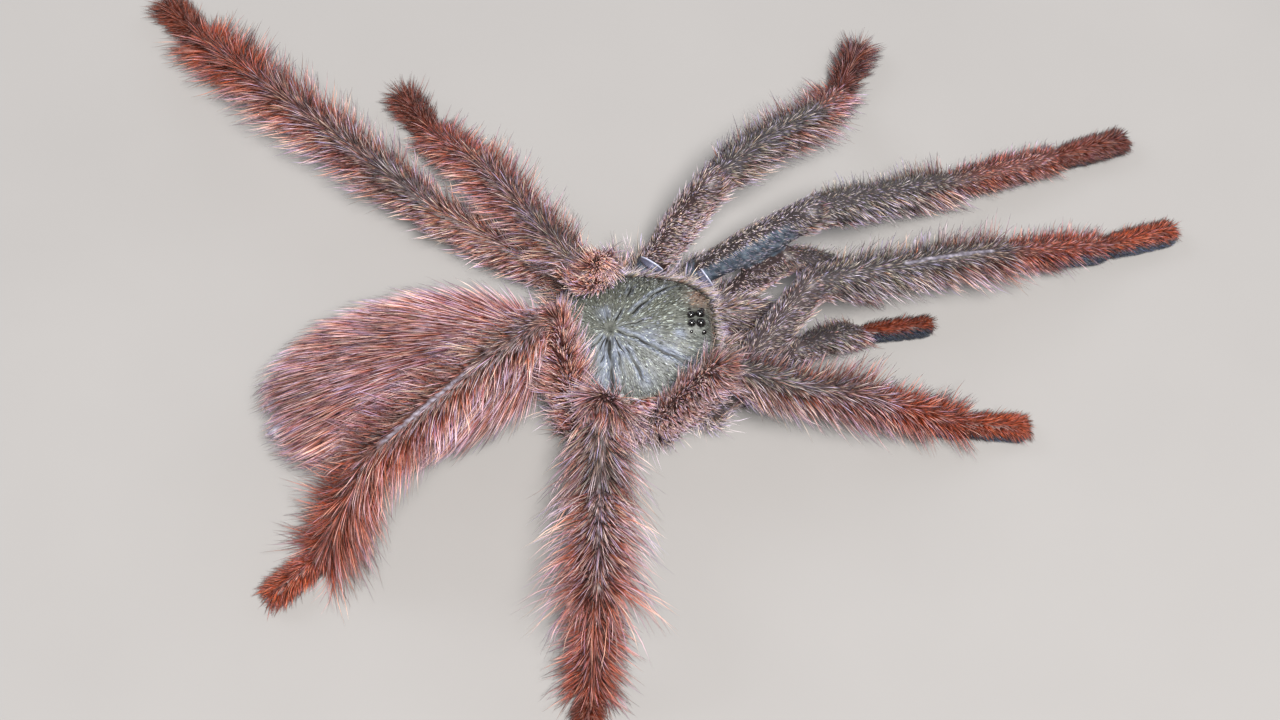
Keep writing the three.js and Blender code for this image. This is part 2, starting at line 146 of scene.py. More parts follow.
def direction(azimuth, pitch):
    """A step of 1 mm that way: azimuth left from the nose, pitch up, in degrees."""
    turn, rise = math.radians(azimuth), math.radians(pitch)
    return np.array([math.cos(turn) * math.cos(rise), math.sin(turn) * math.cos(rise), math.sin(rise)])


def fall_to(point, length, azimuth, height):
    """The end of a segment that starts at a point and comes down to a height."""
    pitch = math.degrees(math.asin((height - point[2]) / length))
    return point + direction(azimuth, pitch) * length


def side_sign(name):
    return 1 if "left" in name else -1


def leg_path(name):
    """The joints of a leg, from the coxa's root to the toe."""
    held, pair = LEGS[name], PAIRS[int(name[-1])]
    sign, lengths = side_sign(name), pair["lengths"]
    azimuth, patella_pitch, tibia_pitch = held["shin"]
    coxa = np.array([pair["root"][0], sign * pair["root"][1], HIP_Z - COXA_DROP])
    hip = np.array([pair["hip"][0], sign * pair["hip"][1], HIP_Z])
    knee = hip + direction(*held["femur"]) * lengths[0]
    shin = knee + direction(azimuth, patella_pitch) * lengths[1]
    heel = shin + direction(azimuth, tibia_pitch) * lengths[2]
    ankle = fall_to(heel, lengths[3], held["foot"], ANKLE_Z)
    toe = fall_to(ankle, lengths[4], held["foot"], TOE_Z)
    return np.array([coxa, hip, knee, shin, heel, ankle, toe]) + HOME


def palp_path(name):
    """The joints of a palp, from the coxa's root to the toe."""
    held, sign = PALPS[name], side_sign(name)
    coxa = np.array([PALP_ROOT[0], sign * PALP_ROOT[1], PALP_ROOT[2]])
    hip = np.array([PALP_HIP[0], sign * PALP_HIP[1], PALP_HIP[2]])
    knee = hip + direction(*held["femur"]) * PALP_LENGTHS[0]
    shin = knee + direction(*held["shin"]) * PALP_LENGTHS[1]
    ankle = fall_to(shin, PALP_LENGTHS[2], held["tibia"], PALP_ANKLE_Z)
    toe = fall_to(ankle, PALP_LENGTHS[3], held["foot"], PALP_TOE_Z)
    return np.array([coxa, hip, knee, shin, ankle, toe]) + HOME


def make_limb(name, path, kinds, scale, held):
    """A limb: its path, and for each segment the skin radii and coat depths along it."""
    radii = [scale * np.array(SEGMENTS[kind][0]) for kind in kinds]
    coats = [held["coats"][SEGMENTS[kind][1]] * np.array(SEGMENTS[kind][2]) for kind in kinds]
    own = {key: held.get(key, plain) for key, plain in OWN.items()}
    return {"name": name, "path": path, "kinds": kinds, "radii": radii, "coats": coats, **own}


legs = [make_limb(f"leg_{n}", leg_path(n), LEG_KINDS, 1.0, LEGS[n]) for n in LEGS]
palps = [make_limb(f"palp_{n}", palp_path(n), PALP_KINDS, PALP_SCALE, PALPS[n]) for n in PALPS]

abdomen_way = direction(180 + ABDOMEN_YAW, 0)
abdomen_end = np.array(ABDOMEN_START) + abdomen_way * ABDOMEN_LENGTH - [0, 0, ABDOMEN_DROP]
abdomen_path = np.array([ABDOMEN_START, abdomen_end]) + HOME
abdomen_axis = (abdomen_path[1] - abdomen_path[0]) / np.linalg.norm(abdomen_path[1] - abdomen_path[0])


# -------------------------------------------------------------------- materials


def linear(hex_colour, alpha=1.0):
    """An sRGB hex value as the linear colour that a socket takes."""
    parts = [int(hex_colour[k:k + 2], 16) / 255 for k in (1, 3, 5)]
    return tuple(c / 12.92 if c <= 0.04045 else ((c + 0.055) / 1.055) ** 2.4 for c in parts) + (alpha,)


def add_node(tree, kind, settings=None, links=None):
    """Adds a node. Settings go to its properties or its inputs, with colours as hex and
    a ramp's stops as pairs; links maps an input to the output that feeds it."""
    node = tree.nodes.new("ShaderNode" + kind)
    for key, value in (settings or {}).items():
        if key == "stops":
            elements = node.color_ramp.elements
            while len(elements) < len(value):
                elements.new(0.5)
            for element, (place, colour) in zip(elements, value):
                element.position = place
                element.color = linear(colour)
        elif isinstance(key, str) and hasattr(node, key):
            setattr(node, key, value)
        else:
            node.inputs[key].default_value = linear(value) if isinstance(value, str) else value
    for key, output in (links or {}).items():
        tree.links.new(output, node.inputs[key])
    return node


MIX = {"data_type": "RGBA"}      # a Mix node's colours are its inputs 6 and 7, its result output 2


def new_material(name, **shader):
    """A material with values on the shader's own sockets, such as Coat_Weight=1.0."""
    material = bpy.data.materials.new(name)
    material.use_nodes = True
    tree = material.node_tree
    surface = tree.nodes["Principled BSDF"]
    for key, value in shader.items():
        surface.inputs[key.replace("_", " ")].default_value = value
    return material, tree, surface


def channels(tree, name):
    """The three numbers that the surface carries under a name."""
    stored = add_node(tree, "Attribute", {"attribute_name": name})
    return add_node(tree, "SeparateXYZ", links={0: stored.outputs["Vector"]}).outputs


TINT_SWING = 0.04                # the tint swings to and fro over this much of the tone


def tint_hairs(tree, tone, colour, tints):
    """Multiplies the hairs' colour by one of a run of tints. It swings many times as the
    tone rises, so that two hairs of like tone differ in it."""
    swing = add_node(tree, "Math", {"operation": "PINGPONG", 1: TINT_SWING}, {0: tone})
    place = add_node(tree, "MapRange", {"From Max": TINT_SWING}, {"Value": swing.outputs[0]})
    stops = list(zip((0.0, 0.5, 1.0), tints))
    tint = add_node(tree, "ValToRGB", {"stops": stops}, {"Fac": place.outputs[0]})
    return add_node(tree, "Mix", {**MIX, "blend_type": "MULTIPLY", 0: 1.0},
                    {6: colour, 7: tint.outputs["Color"]}).outputs[2]


# Root, middle and tip of a hair in each part of the coat. The near-black roots are partly
# the hairs' own dark bases and partly painted shade down among the hairs; the pale tips
# are partly their own colour and partly painted highlight.
COAT_COLOURS = {
    "rust": ("#1c0a0a", "#9c503c", "#d0988c"),
    "salmon": ("#301513", "#ad6756", "#d8aaa2"),
    "grey": ("#181817", "#787870", "#bcb8b8"),
    "orange": ("#2c0b05", "#9a401c", "#c27148"),
    "slate": ("#141a21", "#3d4b5c", "#7f8da0"),
}
# The lilac-pale tip of the paler hairs: partly their own colour, partly painted highlight.
SETA_TIP = "#eae1ec"


def coat_material():
    """Chitin hairs: dark at the root, rust, grey or orange above, lilac-pale at the tip.
    The way along a hair, its tone and the markings come from the coat's attributes."""
    material, tree, surface = new_material("tarantula_hair", Roughness=0.42, IOR=1.55)
    along, tone, paleness = channels(tree, "hair")
    mark, orange, slate = channels(tree, "marks")
    palette = {}
    for name, colours in COAT_COLOURS.items():
        stops = list(zip((0.05, 0.45, 1.0), colours))
        ramp = add_node(tree, "ValToRGB", {"stops": stops}, {"Fac": along})
        palette[name] = ramp.outputs["Color"]
    salmon = add_node(tree, "Math", {"operation": "LESS_THAN", 1: -0.5}, {0: mark})
    grey = add_node(tree, "Clamp", links={"Value": mark})
    body = palette["rust"]
    shares = {"salmon": salmon.outputs[0], "grey": grey.outputs[0], "orange": orange, "slate": slate}
    for name, share in shares.items():
        body = add_node(tree, "Mix", MIX, {0: share, 6: body, 7: palette[name]}).outputs[2]
    tip = add_node(tree, "MapRange", {"From Min": 0.35, "From Max": 0.95}, {"Value": along})
    pale = add_node(tree, "Math", {"operation": "MULTIPLY"}, {0: tip.outputs[0], 1: paleness})
    body = add_node(tree, "Mix", {**MIX, 7: SETA_TIP}, {0: pale.outputs[0], 6: body}).outputs[2]
    level = add_node(tree, "MapRange", {"To Min": 0.28, "To Max": 1.66}, {"Value": tone})
    shaded = add_node(tree, "HueSaturation", links={"Value": level.outputs[0], "Color": body})
    tinted = tint_hairs(tree, tone, shaded.outputs["Color"], ("#d6d0ff", "#fff8fb", "#fff4d8"))
    tree.links.new(tinted, surface.inputs["Base Color"])
    return material


# The pile's colours, from its darkest hairs to its lightest.
PILE_COLOURS = {
    "olive": ("#15160e", "#55574a", "#9b9d93", "#eef1f2"),
    # The silver hairs are partly painted sheen.
    "silver": ("#1d2128", "#747b8a", "#b9c1cf", "#ffffff"),
    "brown": ("#1a0e0a", "#6a4433", "#a87a5e", "#e6c6b0"),
}


def pile_material():
    """The carapace's flat pile: short olive, gold and silver hairs, each of one tone, where the silver is
    partly the hairs' own and partly painted sheen.
    """
    material, tree, surface = new_material("carapace_pile", Roughness=0.5, IOR=1.55)
    along, tone, paleness = channels(tree, "hair")
    _, cheek_share, _ = channels(tree, "marks")
    shades = {}
    for name, colours in PILE_COLOURS.items():
        stops = list(zip((0.0, 0.3, 0.65, 1.0), colours))
        shades[name] = add_node(tree, "ValToRGB", {"stops": stops}, {"Fac": tone}).outputs["Color"]
    pile = shades["olive"]
    for share, name in ((paleness, "silver"), (cheek_share, "brown")):
        pile = add_node(tree, "Mix", MIX, {0: share, 6: pile, 7: shades[name]}).outputs[2]
    tinted = tint_hairs(tree, tone, pile, ("#e0ddfb", "#f6fff6", "#fdfae8"))
    rise = add_node(tree, "MapRange", {"To Min": 0.6, "To Max": 1.1}, {"Value": along})
    shaded = add_node(tree, "HueSaturation", links={"Value": rise.outputs[0], "Color": tinted})
    tree.links.new(shaded.outputs["Color"], surface.inputs["Base Color"])
    return material


def skin_material():
    """Cuticle under the coat: matt and leathery, dark rust, slate where it is bare."""
    material, tree, surface = new_material("tarantula_cuticle", Roughness=0.5, IOR=1.5)
    place = add_node(tree, "TexCoord").outputs["Object"]
    mark, orange, slate = channels(tree, "marks")
    line, fold_share, _ = channels(tree, "bare")
    grey = add_node(tree, "Clamp", links={"Value": mark})
    mottle = add_node(tree, "TexNoise", {"Scale": 900.0, "Detail": 4.0}, {"Vector": place})
    fold = add_node(tree, "TexNoise", {"Scale": 1400.0, "Detail": 3.0}, {"Vector": place})
    cuticle = add_node(tree, "Mix", {**MIX, 6: "#2a1311", 7: "#552a24"}, {0: mottle.outputs[0]})
    membrane = add_node(tree, "ValToRGB", {"stops": [
        (0.3, "#252c36"), (0.5, "#434e5a"), (0.7, "#6b7884")]}, {"Fac": fold.outputs[0]})
    silver = add_node(tree, "ValToRGB", {"stops": [
        (0.3, "#5b5763"), (0.55, "#8f8a97"), (0.75, "#cbc5d2")]}, {"Fac": fold.outputs[0]})
    base = cuticle.outputs[2]
    for share, colour in ((grey.outputs[0], "#332c2d"), (orange, "#4f2014"), (slate, "#171d24")):
        base = add_node(tree, "Mix", {**MIX, 7: colour}, {0: share, 6: base}).outputs[2]
    for share, ramp in ((line, silver), (fold_share, membrane)):
        base = add_node(tree, "Mix", MIX, {0: share, 6: base, 7: ramp.outputs["Color"]}).outputs[2]
    tree.links.new(base, surface.inputs["Base Color"])
    grain = add_node(tree, "TexNoise", {"Scale": 6000.0, "Detail": 2.0}, {"Vector": place})
    bump = add_node(tree, "Bump", {"Strength": 0.35, "Distance": 0.05 * MM},
                    {"Height": grain.outputs[0]})
    tree.links.new(bump.outputs[0], surface.inputs["Normal"])
    return material


def carapace_material():
    """Hard cuticle of the carapace: olive grey with fine rays; silver on the ridges and in
    patches, partly silvery cuticle and partly painted sheen, most on the right side; and near
    black in the grooves, where it shows between the hairs, partly its own dark cuticle and
    partly painted shade in the hollows."""
    material, tree, surface = new_material("carapace_plate", Roughness=0.55, IOR=1.5)
    place = add_node(tree, "TexCoord").outputs["Object"]
    rays = add_node(tree, "Attribute", {"attribute_name": "rays"})
    groove, edge, silver_and_sheen = channels(tree, "form")
    streak = add_node(tree, "TexNoise", {"Scale": 6.0, "Detail": 5.0, "Roughness": 0.65},
                      {"Vector": rays.outputs["Vector"]})
    speck = add_node(tree, "TexNoise", {"Scale": 3500.0, "Detail": 2.0}, {"Vector": place})
    olive = add_node(tree, "ValToRGB", {"stops": [
        (0.3, "#2b2c23"), (0.5, "#4d4f43"), (0.7, "#6f7165")]}, {"Fac": streak.outputs[0]})
    silver = add_node(tree, "ValToRGB", {"stops": [
        (0.3, "#3e434d"), (0.5, "#69707e"), (0.72, "#a0a9b8")]}, {"Fac": streak.outputs[0]})
    base = add_node(tree, "Mix", MIX,
                    {0: silver_and_sheen, 6: olive.outputs["Color"], 7: silver.outputs["Color"]}).outputs[2]
    # Near black in the grooves, the pit and round the middle eyes: partly dark cuticle, partly painted
    # shade in these hollows.
    for share, colour in ((edge, "#86756a"), (groove, "#090a07")):
        base = add_node(tree, "Mix", {**MIX, 7: colour}, {0: share, 6: base}).outputs[2]
    fine = add_node(tree, "MapRange", {"From Min": 0.3, "From Max": 0.7, "To Min": 0.75, "To Max": 1.2},
                    {"Value": speck.outputs[0]})
    shaded = add_node(tree, "HueSaturation", links={"Value": fine.outputs[0], "Color": base})
    tree.links.new(shaded.outputs["Color"], surface.inputs["Base Color"])
    height = add_node(tree, "Math", {"operation": "ADD"}, {0: streak.outputs[0], 1: speck.outputs[0]})
    bump = add_node(tree, "Bump", {"Strength": 0.5, "Distance": 0.08 * MM},
                    {"Height": height.outputs[0]})
    tree.links.new(bump.outputs[0], surface.inputs["Normal"])
    return material


def plain_material(name, scale, dark, light, **shader):
    """A surface that drifts between two close colours, over patches of a real size."""
    material, tree, surface = new_material(name, **shader)
    place = add_node(tree, "TexCoord").outputs["Object"]
    drift = add_node(tree, "TexNoise", {"Scale": scale, "Detail": 3.0}, {"Vector": place})
    colour = add_node(tree, "Mix", {**MIX, 6: dark, 7: light}, {0: drift.outputs[0]})
    tree.links.new(colour.outputs[2], surface.inputs["Base Color"])
    return material


def cornea_material():
    """Cornea: black, clear and wet-looking, with a faint brown depth."""
    return plain_material("cornea", 1500.0, "#030304", "#0d0907",
                          Roughness=0.25, IOR=1.5, Coat_Weight=1.0, Coat_Roughness=0.12)


def horn_material():
    """Hardened cuticle of fangs and claws: near black, polished, browner in streaks."""
    return plain_material("fang_horn", 1800.0, "#0d0908", "#34201a",
                          Roughness=0.22, IOR=1.55, Coat_Weight=0.4)


def sclerite_material():
    """Bare hinge plates: smooth slate cuticle with a waxy gleam, and a painted highlight along the keel."""
    material, tree, surface = new_material("bare_sclerite", Roughness=0.22, IOR=1.5, Coat_Weight=0.4)
    place = add_node(tree, "TexCoord").outputs["Object"]
    keel, _, _ = channels(tree, "form")
    drift = add_node(tree, "TexNoise", {"Scale": 1500.0, "Detail": 3.0}, {"Vector": place})
    face = add_node(tree, "Mix", {**MIX, 6: "#23262f", 7: "#6d6f86"}, {0: drift.outputs[0]})
    # The pale mix along the keel is a painted highlight, where the light catches the plate's edge.
    keel_highlight = add_node(tree, "MapRange", {"From Min": 0.45, "From Max": 0.95}, {"Value": keel})
    base = add_node(tree, "Mix", {**MIX, 7: "#b9bdd2"}, {0: keel_highlight.outputs[0], 6: face.outputs[2]})
    tree.links.new(base.outputs[2], surface.inputs["Base Color"])
    return material


def floor_material():
    """Matt pale studio board."""
    return plain_material("studio_board", 40.0, "#8b8987", "#918f8d", Roughness=0.8, IOR=1.45)


# ---------------------------------------------------------------- piece helpers


def start_clean():
    """Leaves edit mode and deselects everything."""
    if bpy.context.object and bpy.context.object.mode != "OBJECT":
        bpy.ops.object.mode_set(mode="OBJECT")
    bpy.ops.object.select_all(action="DESELECT")


def apply_modifier(piece, kind, **settings):
    modifier = piece.modifiers.new(kind.lower(), kind)
    for key, value in settings.items():
        setattr(modifier, key, value)
    bpy.ops.object.modifier_apply(modifier=modifier.name)


def settle(piece, name, material):
    """Scales a finished piece to metres, names and finishes it, and lets it ride."""
    piece.data.transform(piece.matrix_world)
    piece.matrix_world = Matrix.Identity(4)
    piece.data.transform(Matrix.Scale(MM, 4))
    piece.name = piece.data.name = name
    piece.data.materials.clear()
    piece.data.materials.append(material)
    piece.data.polygons.foreach_set("use_smooth", [True] * len(piece.data.polygons))
    piece.data.update()
    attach(piece, "root")
    return piece


def draw_out(points, radii, sides, way):
    """A closed form drawn out ring by ring through its points, left in edit mode with all
    of it selected. The first ring faces along way."""
    start_clean()
    facing = Vector(way).to_track_quat("Z", "Y").to_euler()
    bpy.ops.mesh.primitive_circle_add(vertices=sides, radius=radii[0], fill_type="NGON",
                                      location=points[0], rotation=facing)
    bpy.ops.object.mode_set(mode="EDIT")
    for k in range(1, len(points)):
        step = tuple(points[k] - points[k - 1])
        bpy.ops.mesh.extrude_region_move(TRANSFORM_OT_translate={"value": step})
        bpy.ops.transform.resize(value=(radii[k] / radii[k - 1],) * 3, center_override=tuple(points[k]))
    bpy.ops.mesh.select_all(action="SELECT")


def close_up():
    """Turns the faces of a form in edit mode outwards, and gives it back."""
    bpy.ops.mesh.normals_make_consistent(inside=False)
    bpy.ops.object.mode_set(mode="OBJECT")
    return bpy.context.object


def vertex_array(mesh):
    places = np.empty(len(mesh.vertices) * 3)
    mesh.vertices.foreach_get("co", places)
    return places.reshape(-1, 3)


def store_vectors(mesh, name, values):
    """Gives each vertex three numbers that a material reads by their name."""
    attribute = mesh.attributes.new(name, "FLOAT_VECTOR", "POINT")
    attribute.data.foreach_set("vector", np.ascontiguousarray(values, dtype=np.float32).ravel())


# --------------------------------------------------------------------- the skin


def add_frustum(start, end, start_radius, end_radius):
    """A round tapered length between two places."""
    way = Vector(end - start)
    bpy.ops.mesh.primitive_cone_add(
        vertices=20, radius1=start_radius, radius2=end_radius, depth=way.length,
        location=(start + end) / 2, rotation=way.to_track_quat("Z", "Y").to_euler())


def add_ball(centre, radii, rotation=(0, 0, 0)):
    bpy.ops.mesh.primitive_uv_sphere_add(
        segments=24, ring_count=16, radius=1, location=centre, rotation=rotation, scale=radii)


def add_limb(limb):
    """Two tapered lengths for each segment, with a ball in every joint."""
    for k, radii in enumerate(limb["radii"]):
        start, end = limb["path"][k], limb["path"][k + 1]
        middle = (start + end) / 2
        add_frustum(start, middle, radii[0], radii[1])
        add_frustum(middle, end, radii[1], radii[2])
        add_ball(end, [radii[2]] * 3)
    add_ball(limb["path"][0], [limb["radii"][0][0]] * 3)


# The middle line of the left chelicera, and the radii of its flesh.
CHELICERA = {"root": (8.0, 2.15, 6.0), "tip": (13.7, 2.05, 4.6), "radii": (3.9, 1.75, 2.35)}


def chelicera_ends(sign):
    root, tip = (np.array(CHELICERA[key]) * [1, sign, 1] + HOME for key in ("root", "tip"))
    return root, tip


# The spinnerets: how far their roots lie before the abdomen's tip, to the side and above,
# how long they are, how far they spread and rise in degrees, and their radii.
SPINNERET = {"root": (1.9, 1.1, 0.2), "length": 2.6, "spread": 8, "rise": 4, "radii": (0.8, 0.65, 0.5)}


def spinneret_ends(sign):
    before, aside, above = SPINNERET["root"]
    root = abdomen_path[1] - abdomen_axis * before + [0, aside * sign, above]
    azimuth = 180 + ABDOMEN_YAW - SPINNERET["spread"] * sign
    return root, root + direction(azimuth, SPINNERET["rise"]) * SPINNERET["length"]


def abdomen_fullness(share):
    """The abdomen's half width at a share of its length, where 1 is the fullest."""
    return np.maximum(0, 1 - (2 * share ** 1.08 - 1) ** 2) ** 0.46


# Where along the abdomen its rings lie, closer towards the ends.
ABDOMEN_RINGS = (0.012, 0.05, 0.12, 0.22, 0.35, 0.5, 0.65, 0.78, 0.88, 0.95, 0.988)


def build_abdomen():
    """Rings drawn out along the abdomen's axis, fullest in the middle, and flattened."""
    way = abdomen_path[1] - abdomen_path[0]
    places = [abdomen_path[0] + way * share for share in ABDOMEN_RINGS]
    radii = [ABDOMEN_SKIN[0] * abdomen_fullness(np.array(share)) for share in ABDOMEN_RINGS]
    draw_out(places, radii, 40, way)
    middle = tuple((places[0] + places[-1]) / 2)
    bpy.ops.transform.resize(value=(1, 1, ABDOMEN_SKIN[1] / ABDOMEN_SKIN[0]), center_override=middle)
    return close_up()


# The trunk's flesh under the carapace and over the sternum, told from the carapace's
# middle: the centre and the radii of each rounded form. Then the waist behind it, and
# how far it runs into the abdomen.
TRUNK_FORMS = (((0, 0, 4.4), (7.3, 5.9, 1.35)), ((-0.4, 0, 2.9), (6.0, 3.4, 1.2)))
WAIST = {"start": (-6.5, 0, 4.6), "radius": 1.3, "depth": 1.5}
SKIN_GRAIN = 0.31                # the size of the skin's facets
SKIN_SMOOTHING = 4


def build_skin():
    """All flesh as one skin: the rough forms are joined, remeshed and smoothed."""
    skin = build_abdomen()
    bpy.ops.object.mode_set(mode="EDIT")
    for centre, radii in TRUNK_FORMS:
        add_ball(HOME + centre, radii)
    add_frustum(HOME + WAIST["start"], abdomen_path[0] + abdomen_axis * WAIST["depth"],
                WAIST["radius"], WAIST["radius"])
    for sign in (1, -1):
        root, tip = chelicera_ends(sign)
        tilt = math.atan2(root[2] - tip[2], tip[0] - root[0])
        add_ball((root + tip) / 2, CHELICERA["radii"], (0, tilt, 0))
        root, tip = spinneret_ends(sign)
        add_frustum(root, tip, SPINNERET["radii"][0], SPINNERET["radii"][2])
        add_ball(tip, [SPINNERET["radii"][2]] * 3)
    for limb in legs + palps:
        add_limb(limb)
    bpy.ops.object.mode_set(mode="OBJECT")
    apply_modifier(skin, "REMESH", mode="VOXEL", voxel_size=SKIN_GRAIN)
    apply_modifier(skin, "SMOOTH", factor=0.5, iterations=SKIN_SMOOTHING)
    skin.data.transform(skin.matrix_world)
    skin.matrix_world = Matrix.Identity(4)
    return skin


# --------------------------------------------------- where a place is on the body


def smooth_step(low, high, value):
    """A smooth rise from 0 at low to 1 at high."""
    t = np.clip((value - low) / (high - low), 0, 1)
    return t * t * (3 - 2 * t)


def unit(vectors):
    return vectors / np.maximum(np.linalg.norm(vectors, axis=-1, keepdims=True), 1e-9)


def carapace_outline(turn):
    """The carapace's edge seen from above: an oval with a squared, narrower front."""
    forward, sideways = np.cos(turn), np.sin(turn)
    square = 0.84 - 0.34 * np.maximum(0, forward)
    x = CARAPACE_LENGTH / 2 * np.sign(forward) * np.abs(forward) ** square
    taper = 1 - 0.18 * forward - 0.07 * forward ** 2
    y = CARAPACE_WIDTH / 2 * taper * np.sign(sideways) * np.abs(sideways) ** square
    return x, y


turns = np.linspace(-np.pi, np.pi, 4 * 360 + 1)
outline_x, outline_y = carapace_outline(turns)
outline_angle = np.unwrap(np.arctan2(outline_y, outline_x))
outline_reach = np.hypot(outline_x, outline_y)


def carapace_share(x, y):
    """How far out towards the carapace's edge a place is (1 at the edge), and its turn."""
    angle = np.arctan2(y, x)
    reach = np.interp(angle, outline_angle, outline_reach)
    return np.hypot(x, y) / reach, np.interp(angle, outline_angle, turns)


def carapace_top(share, turn):
    """The height of the plate's top without its grooves."""
    front = np.maximum(0, np.cos(turn))
    fall = 0.62 - 0.3 * front
    dome = np.maximum(0, 1 - share ** 2.4) ** fall
    head = HEAD_RISE * np.sin(np.pi * np.minimum(1, share * 0.85)) * front ** 2
    return CARAPACE_MARGIN_Z + CARAPACE_RISE * dome + head


def make_bone(number, kind, ends, radii, coats, limb, shares=(0.0, 1.0)):
    """One straight length of the body, with the directions up from it and across it."""
    start, end = ends
    axis = unit(end - start)
    upward = unit(np.array([0, 0, 1.0]) - axis * axis[2])
    own = {key: limb.get(key, plain) for key, plain in OWN.items()}
    return {"limb": number, "kind": kind, "start": start, "axis": axis,
            "length": np.linalg.norm(end - start), "upward": upward, "across": np.cross(upward, axis),
            "radii": np.array(radii), "coats": np.array(coats), "shares": shares, **own}


def limb_bones(number, limb):
    """A bone for each segment of a limb, with the shares of the limb where it starts and
    ends."""
    lengths = np.linalg.norm(np.diff(limb["path"], axis=0), axis=1)
    shares = np.concatenate([[0], np.cumsum(lengths)]) / lengths.sum()
    return [make_bone(number, kind, limb["path"][k:k + 2], limb["radii"][k], limb["coats"][k],
                      limb, shares[k:k + 2]) for k, kind in enumerate(limb["kinds"])]


# The numbers of the body's other regions follow those of the limbs.
LIMB_COUNT = len(legs + palps)
CHELICERAE = (LIMB_COUNT, LIMB_COUNT + 1)
SPINNERETS = (LIMB_COUNT + 2, LIMB_COUNT + 3)
ABDOMEN = LIMB_COUNT + 4
ABDOMEN_RIGHT = LIMB_COUNT + 5
TRUNK = LIMB_COUNT + 6

bones = [bone for number, limb in enumerate(legs + palps) for bone in limb_bones(number, limb)]
for side, sign in enumerate((-1, 1)):
    bones.append(make_bone(CHELICERAE[side], "chelicera", chelicera_ends(sign), (2.0, 2.1, 1.8),
                           (0.9, 1.2, 1.3), {}))
    bones.append(make_bone(SPINNERETS[side], "spinneret", spinneret_ends(sign), SPINNERET["radii"],
                           (0.3, 0.3, 0.3), {}))


def along_profile(values, fraction):
    """A value given at the start, the middle and the end, at a fraction of the way."""
    first = values[0] + (values[1] - values[0]) * np.minimum(fraction * 2, 1)
    return np.where(fraction < 0.5, first, values[1] + (values[2] - values[1]) * (fraction * 2 - 1))


def from_bone(places, bone):
    """The fraction of a bone's length beside each place, and the way out to the place."""
    offset = places - bone["start"]
    fraction = np.clip(offset @ bone["axis"] / bone["length"], 0, 1)
    return fraction, offset - np.outer(fraction * bone["length"], bone["axis"])


COMB = 0.95                      # how strongly the coat parts along the top of a limb


def read_body(places):
    """For points on the skin: the limb and the kind of segment, how far down the limb
    and along the segment they lie, the angle round it, the coat's depth and its lie."""
    count = len(places)
    best = np.full(count, np.inf)
    body = {
        "limb": np.full(count, TRUNK), "kind": np.full(count, KINDS.index("trunk")),
        "down": np.zeros(count), "fraction": np.zeros(count), "angle": np.zeros(count),
        "coat": np.full(count, 0.5), "way": np.zeros((count, 3)),
        **{key: np.full(count, plain) for key, plain in OWN.items()},
    }
    parting = np.zeros((count, 3))
    for bone in bones:
        fraction, away = from_bone(places, bone)
        gap = np.abs(np.linalg.norm(away, axis=1) - along_profile(bone["radii"], fraction))
        near = gap < best
        best[near] = gap[near]
        angle = np.arctan2(away @ bone["across"], away @ bone["upward"])
        first, last = bone["shares"]
        found = {"down": first + (last - first) * fraction, "fraction": fraction, "angle": angle,
                 "coat": along_profile(bone["coats"], fraction)}
        for key, value in found.items():
            body[key][near] = value[near]
        body["limb"][near] = bone["limb"]
        body["kind"][near] = KINDS.index(bone["kind"])
        for key in OWN:
            body[key][near] = bone[key]
        body["way"][near] = bone["axis"]
        around = np.outer(np.cos(angle), bone["across"]) - np.outer(np.sin(angle), bone["upward"])
        strength = COMB * np.sign(angle) * np.maximum(0, np.sin(2 * np.abs(angle)))
        parting[near] = (around * strength[:, None])[near]
    read_abdomen(places, body)
    read_trunk(places, body)
    blend_lie(places, body)
    legs_own = body["limb"] < LIMB_COUNT
    body["way"][legs_own] = unit(body["way"] + parting)[legs_own]
    return body


def blend_lie(places, body):
    """Turns the coat's lie smoothly from one segment to the next across each joint."""
    for number in range(LIMB_COUNT):
        own = body["limb"] == number
        flow = np.zeros((own.sum(), 3))
        for bone in (b for b in bones if b["limb"] == number):
            _, away = from_bone(places[own], bone)
            weight = np.exp(-np.maximum(0, np.linalg.norm(away, axis=1) - 1.6) / 0.5)
            flow += weight[:, None] * bone["axis"]
        body["way"][own] = unit(flow)


def read_abdomen(places, body):
    """The abdomen, where the coat parts along the back and leans down the sides."""
    way = abdomen_path[1] - abdomen_path[0]
    offset = places - abdomen_path[0]
    share = offset @ abdomen_axis / np.linalg.norm(way)
    away = offset - np.outer(offset @ abdomen_axis, abdomen_axis)
    across = unit(np.cross([0, 0, 1.0], abdomen_axis))
    reach = np.hypot(away @ across / ABDOMEN_SKIN[0], away[:, 2] / ABDOMEN_SKIN[1])
    fullness = abdomen_fullness(np.clip(share, 0, 1))
    own = (share > -0.05) & (share < 1.01) & (reach < fullness + 0.06) & (reach > fullness - 0.25)
    own &= ~is_kind(body, "spinneret") | (share < 0.96)
    angle = np.arctan2(away @ across, away[:, 2])
    outward = np.outer(np.cos(angle), across) - np.outer(np.sin(angle), [0, 0, 1.0])
    parted = unit(abdomen_axis + 0.3 * outward * np.sin(angle)[:, None])
    depth = 2.9 - 1.6 * smooth_step(0.9, 0.99, share)
    found = {**OWN, "kind": KINDS.index("abdomen"), "coat": depth, "grey": 0.0}
    for key, value in found.items():
        body[key][own] = np.broadcast_to(value, own.shape)[own]
    body["limb"][own] = np.where(away @ across > 0, ABDOMEN_RIGHT, ABDOMEN)[own]
    for key, value in {"way": parted, "down": share, "fraction": share, "angle": angle}.items():
        body[key][own] = np.clip(value, -4, 4)[own]


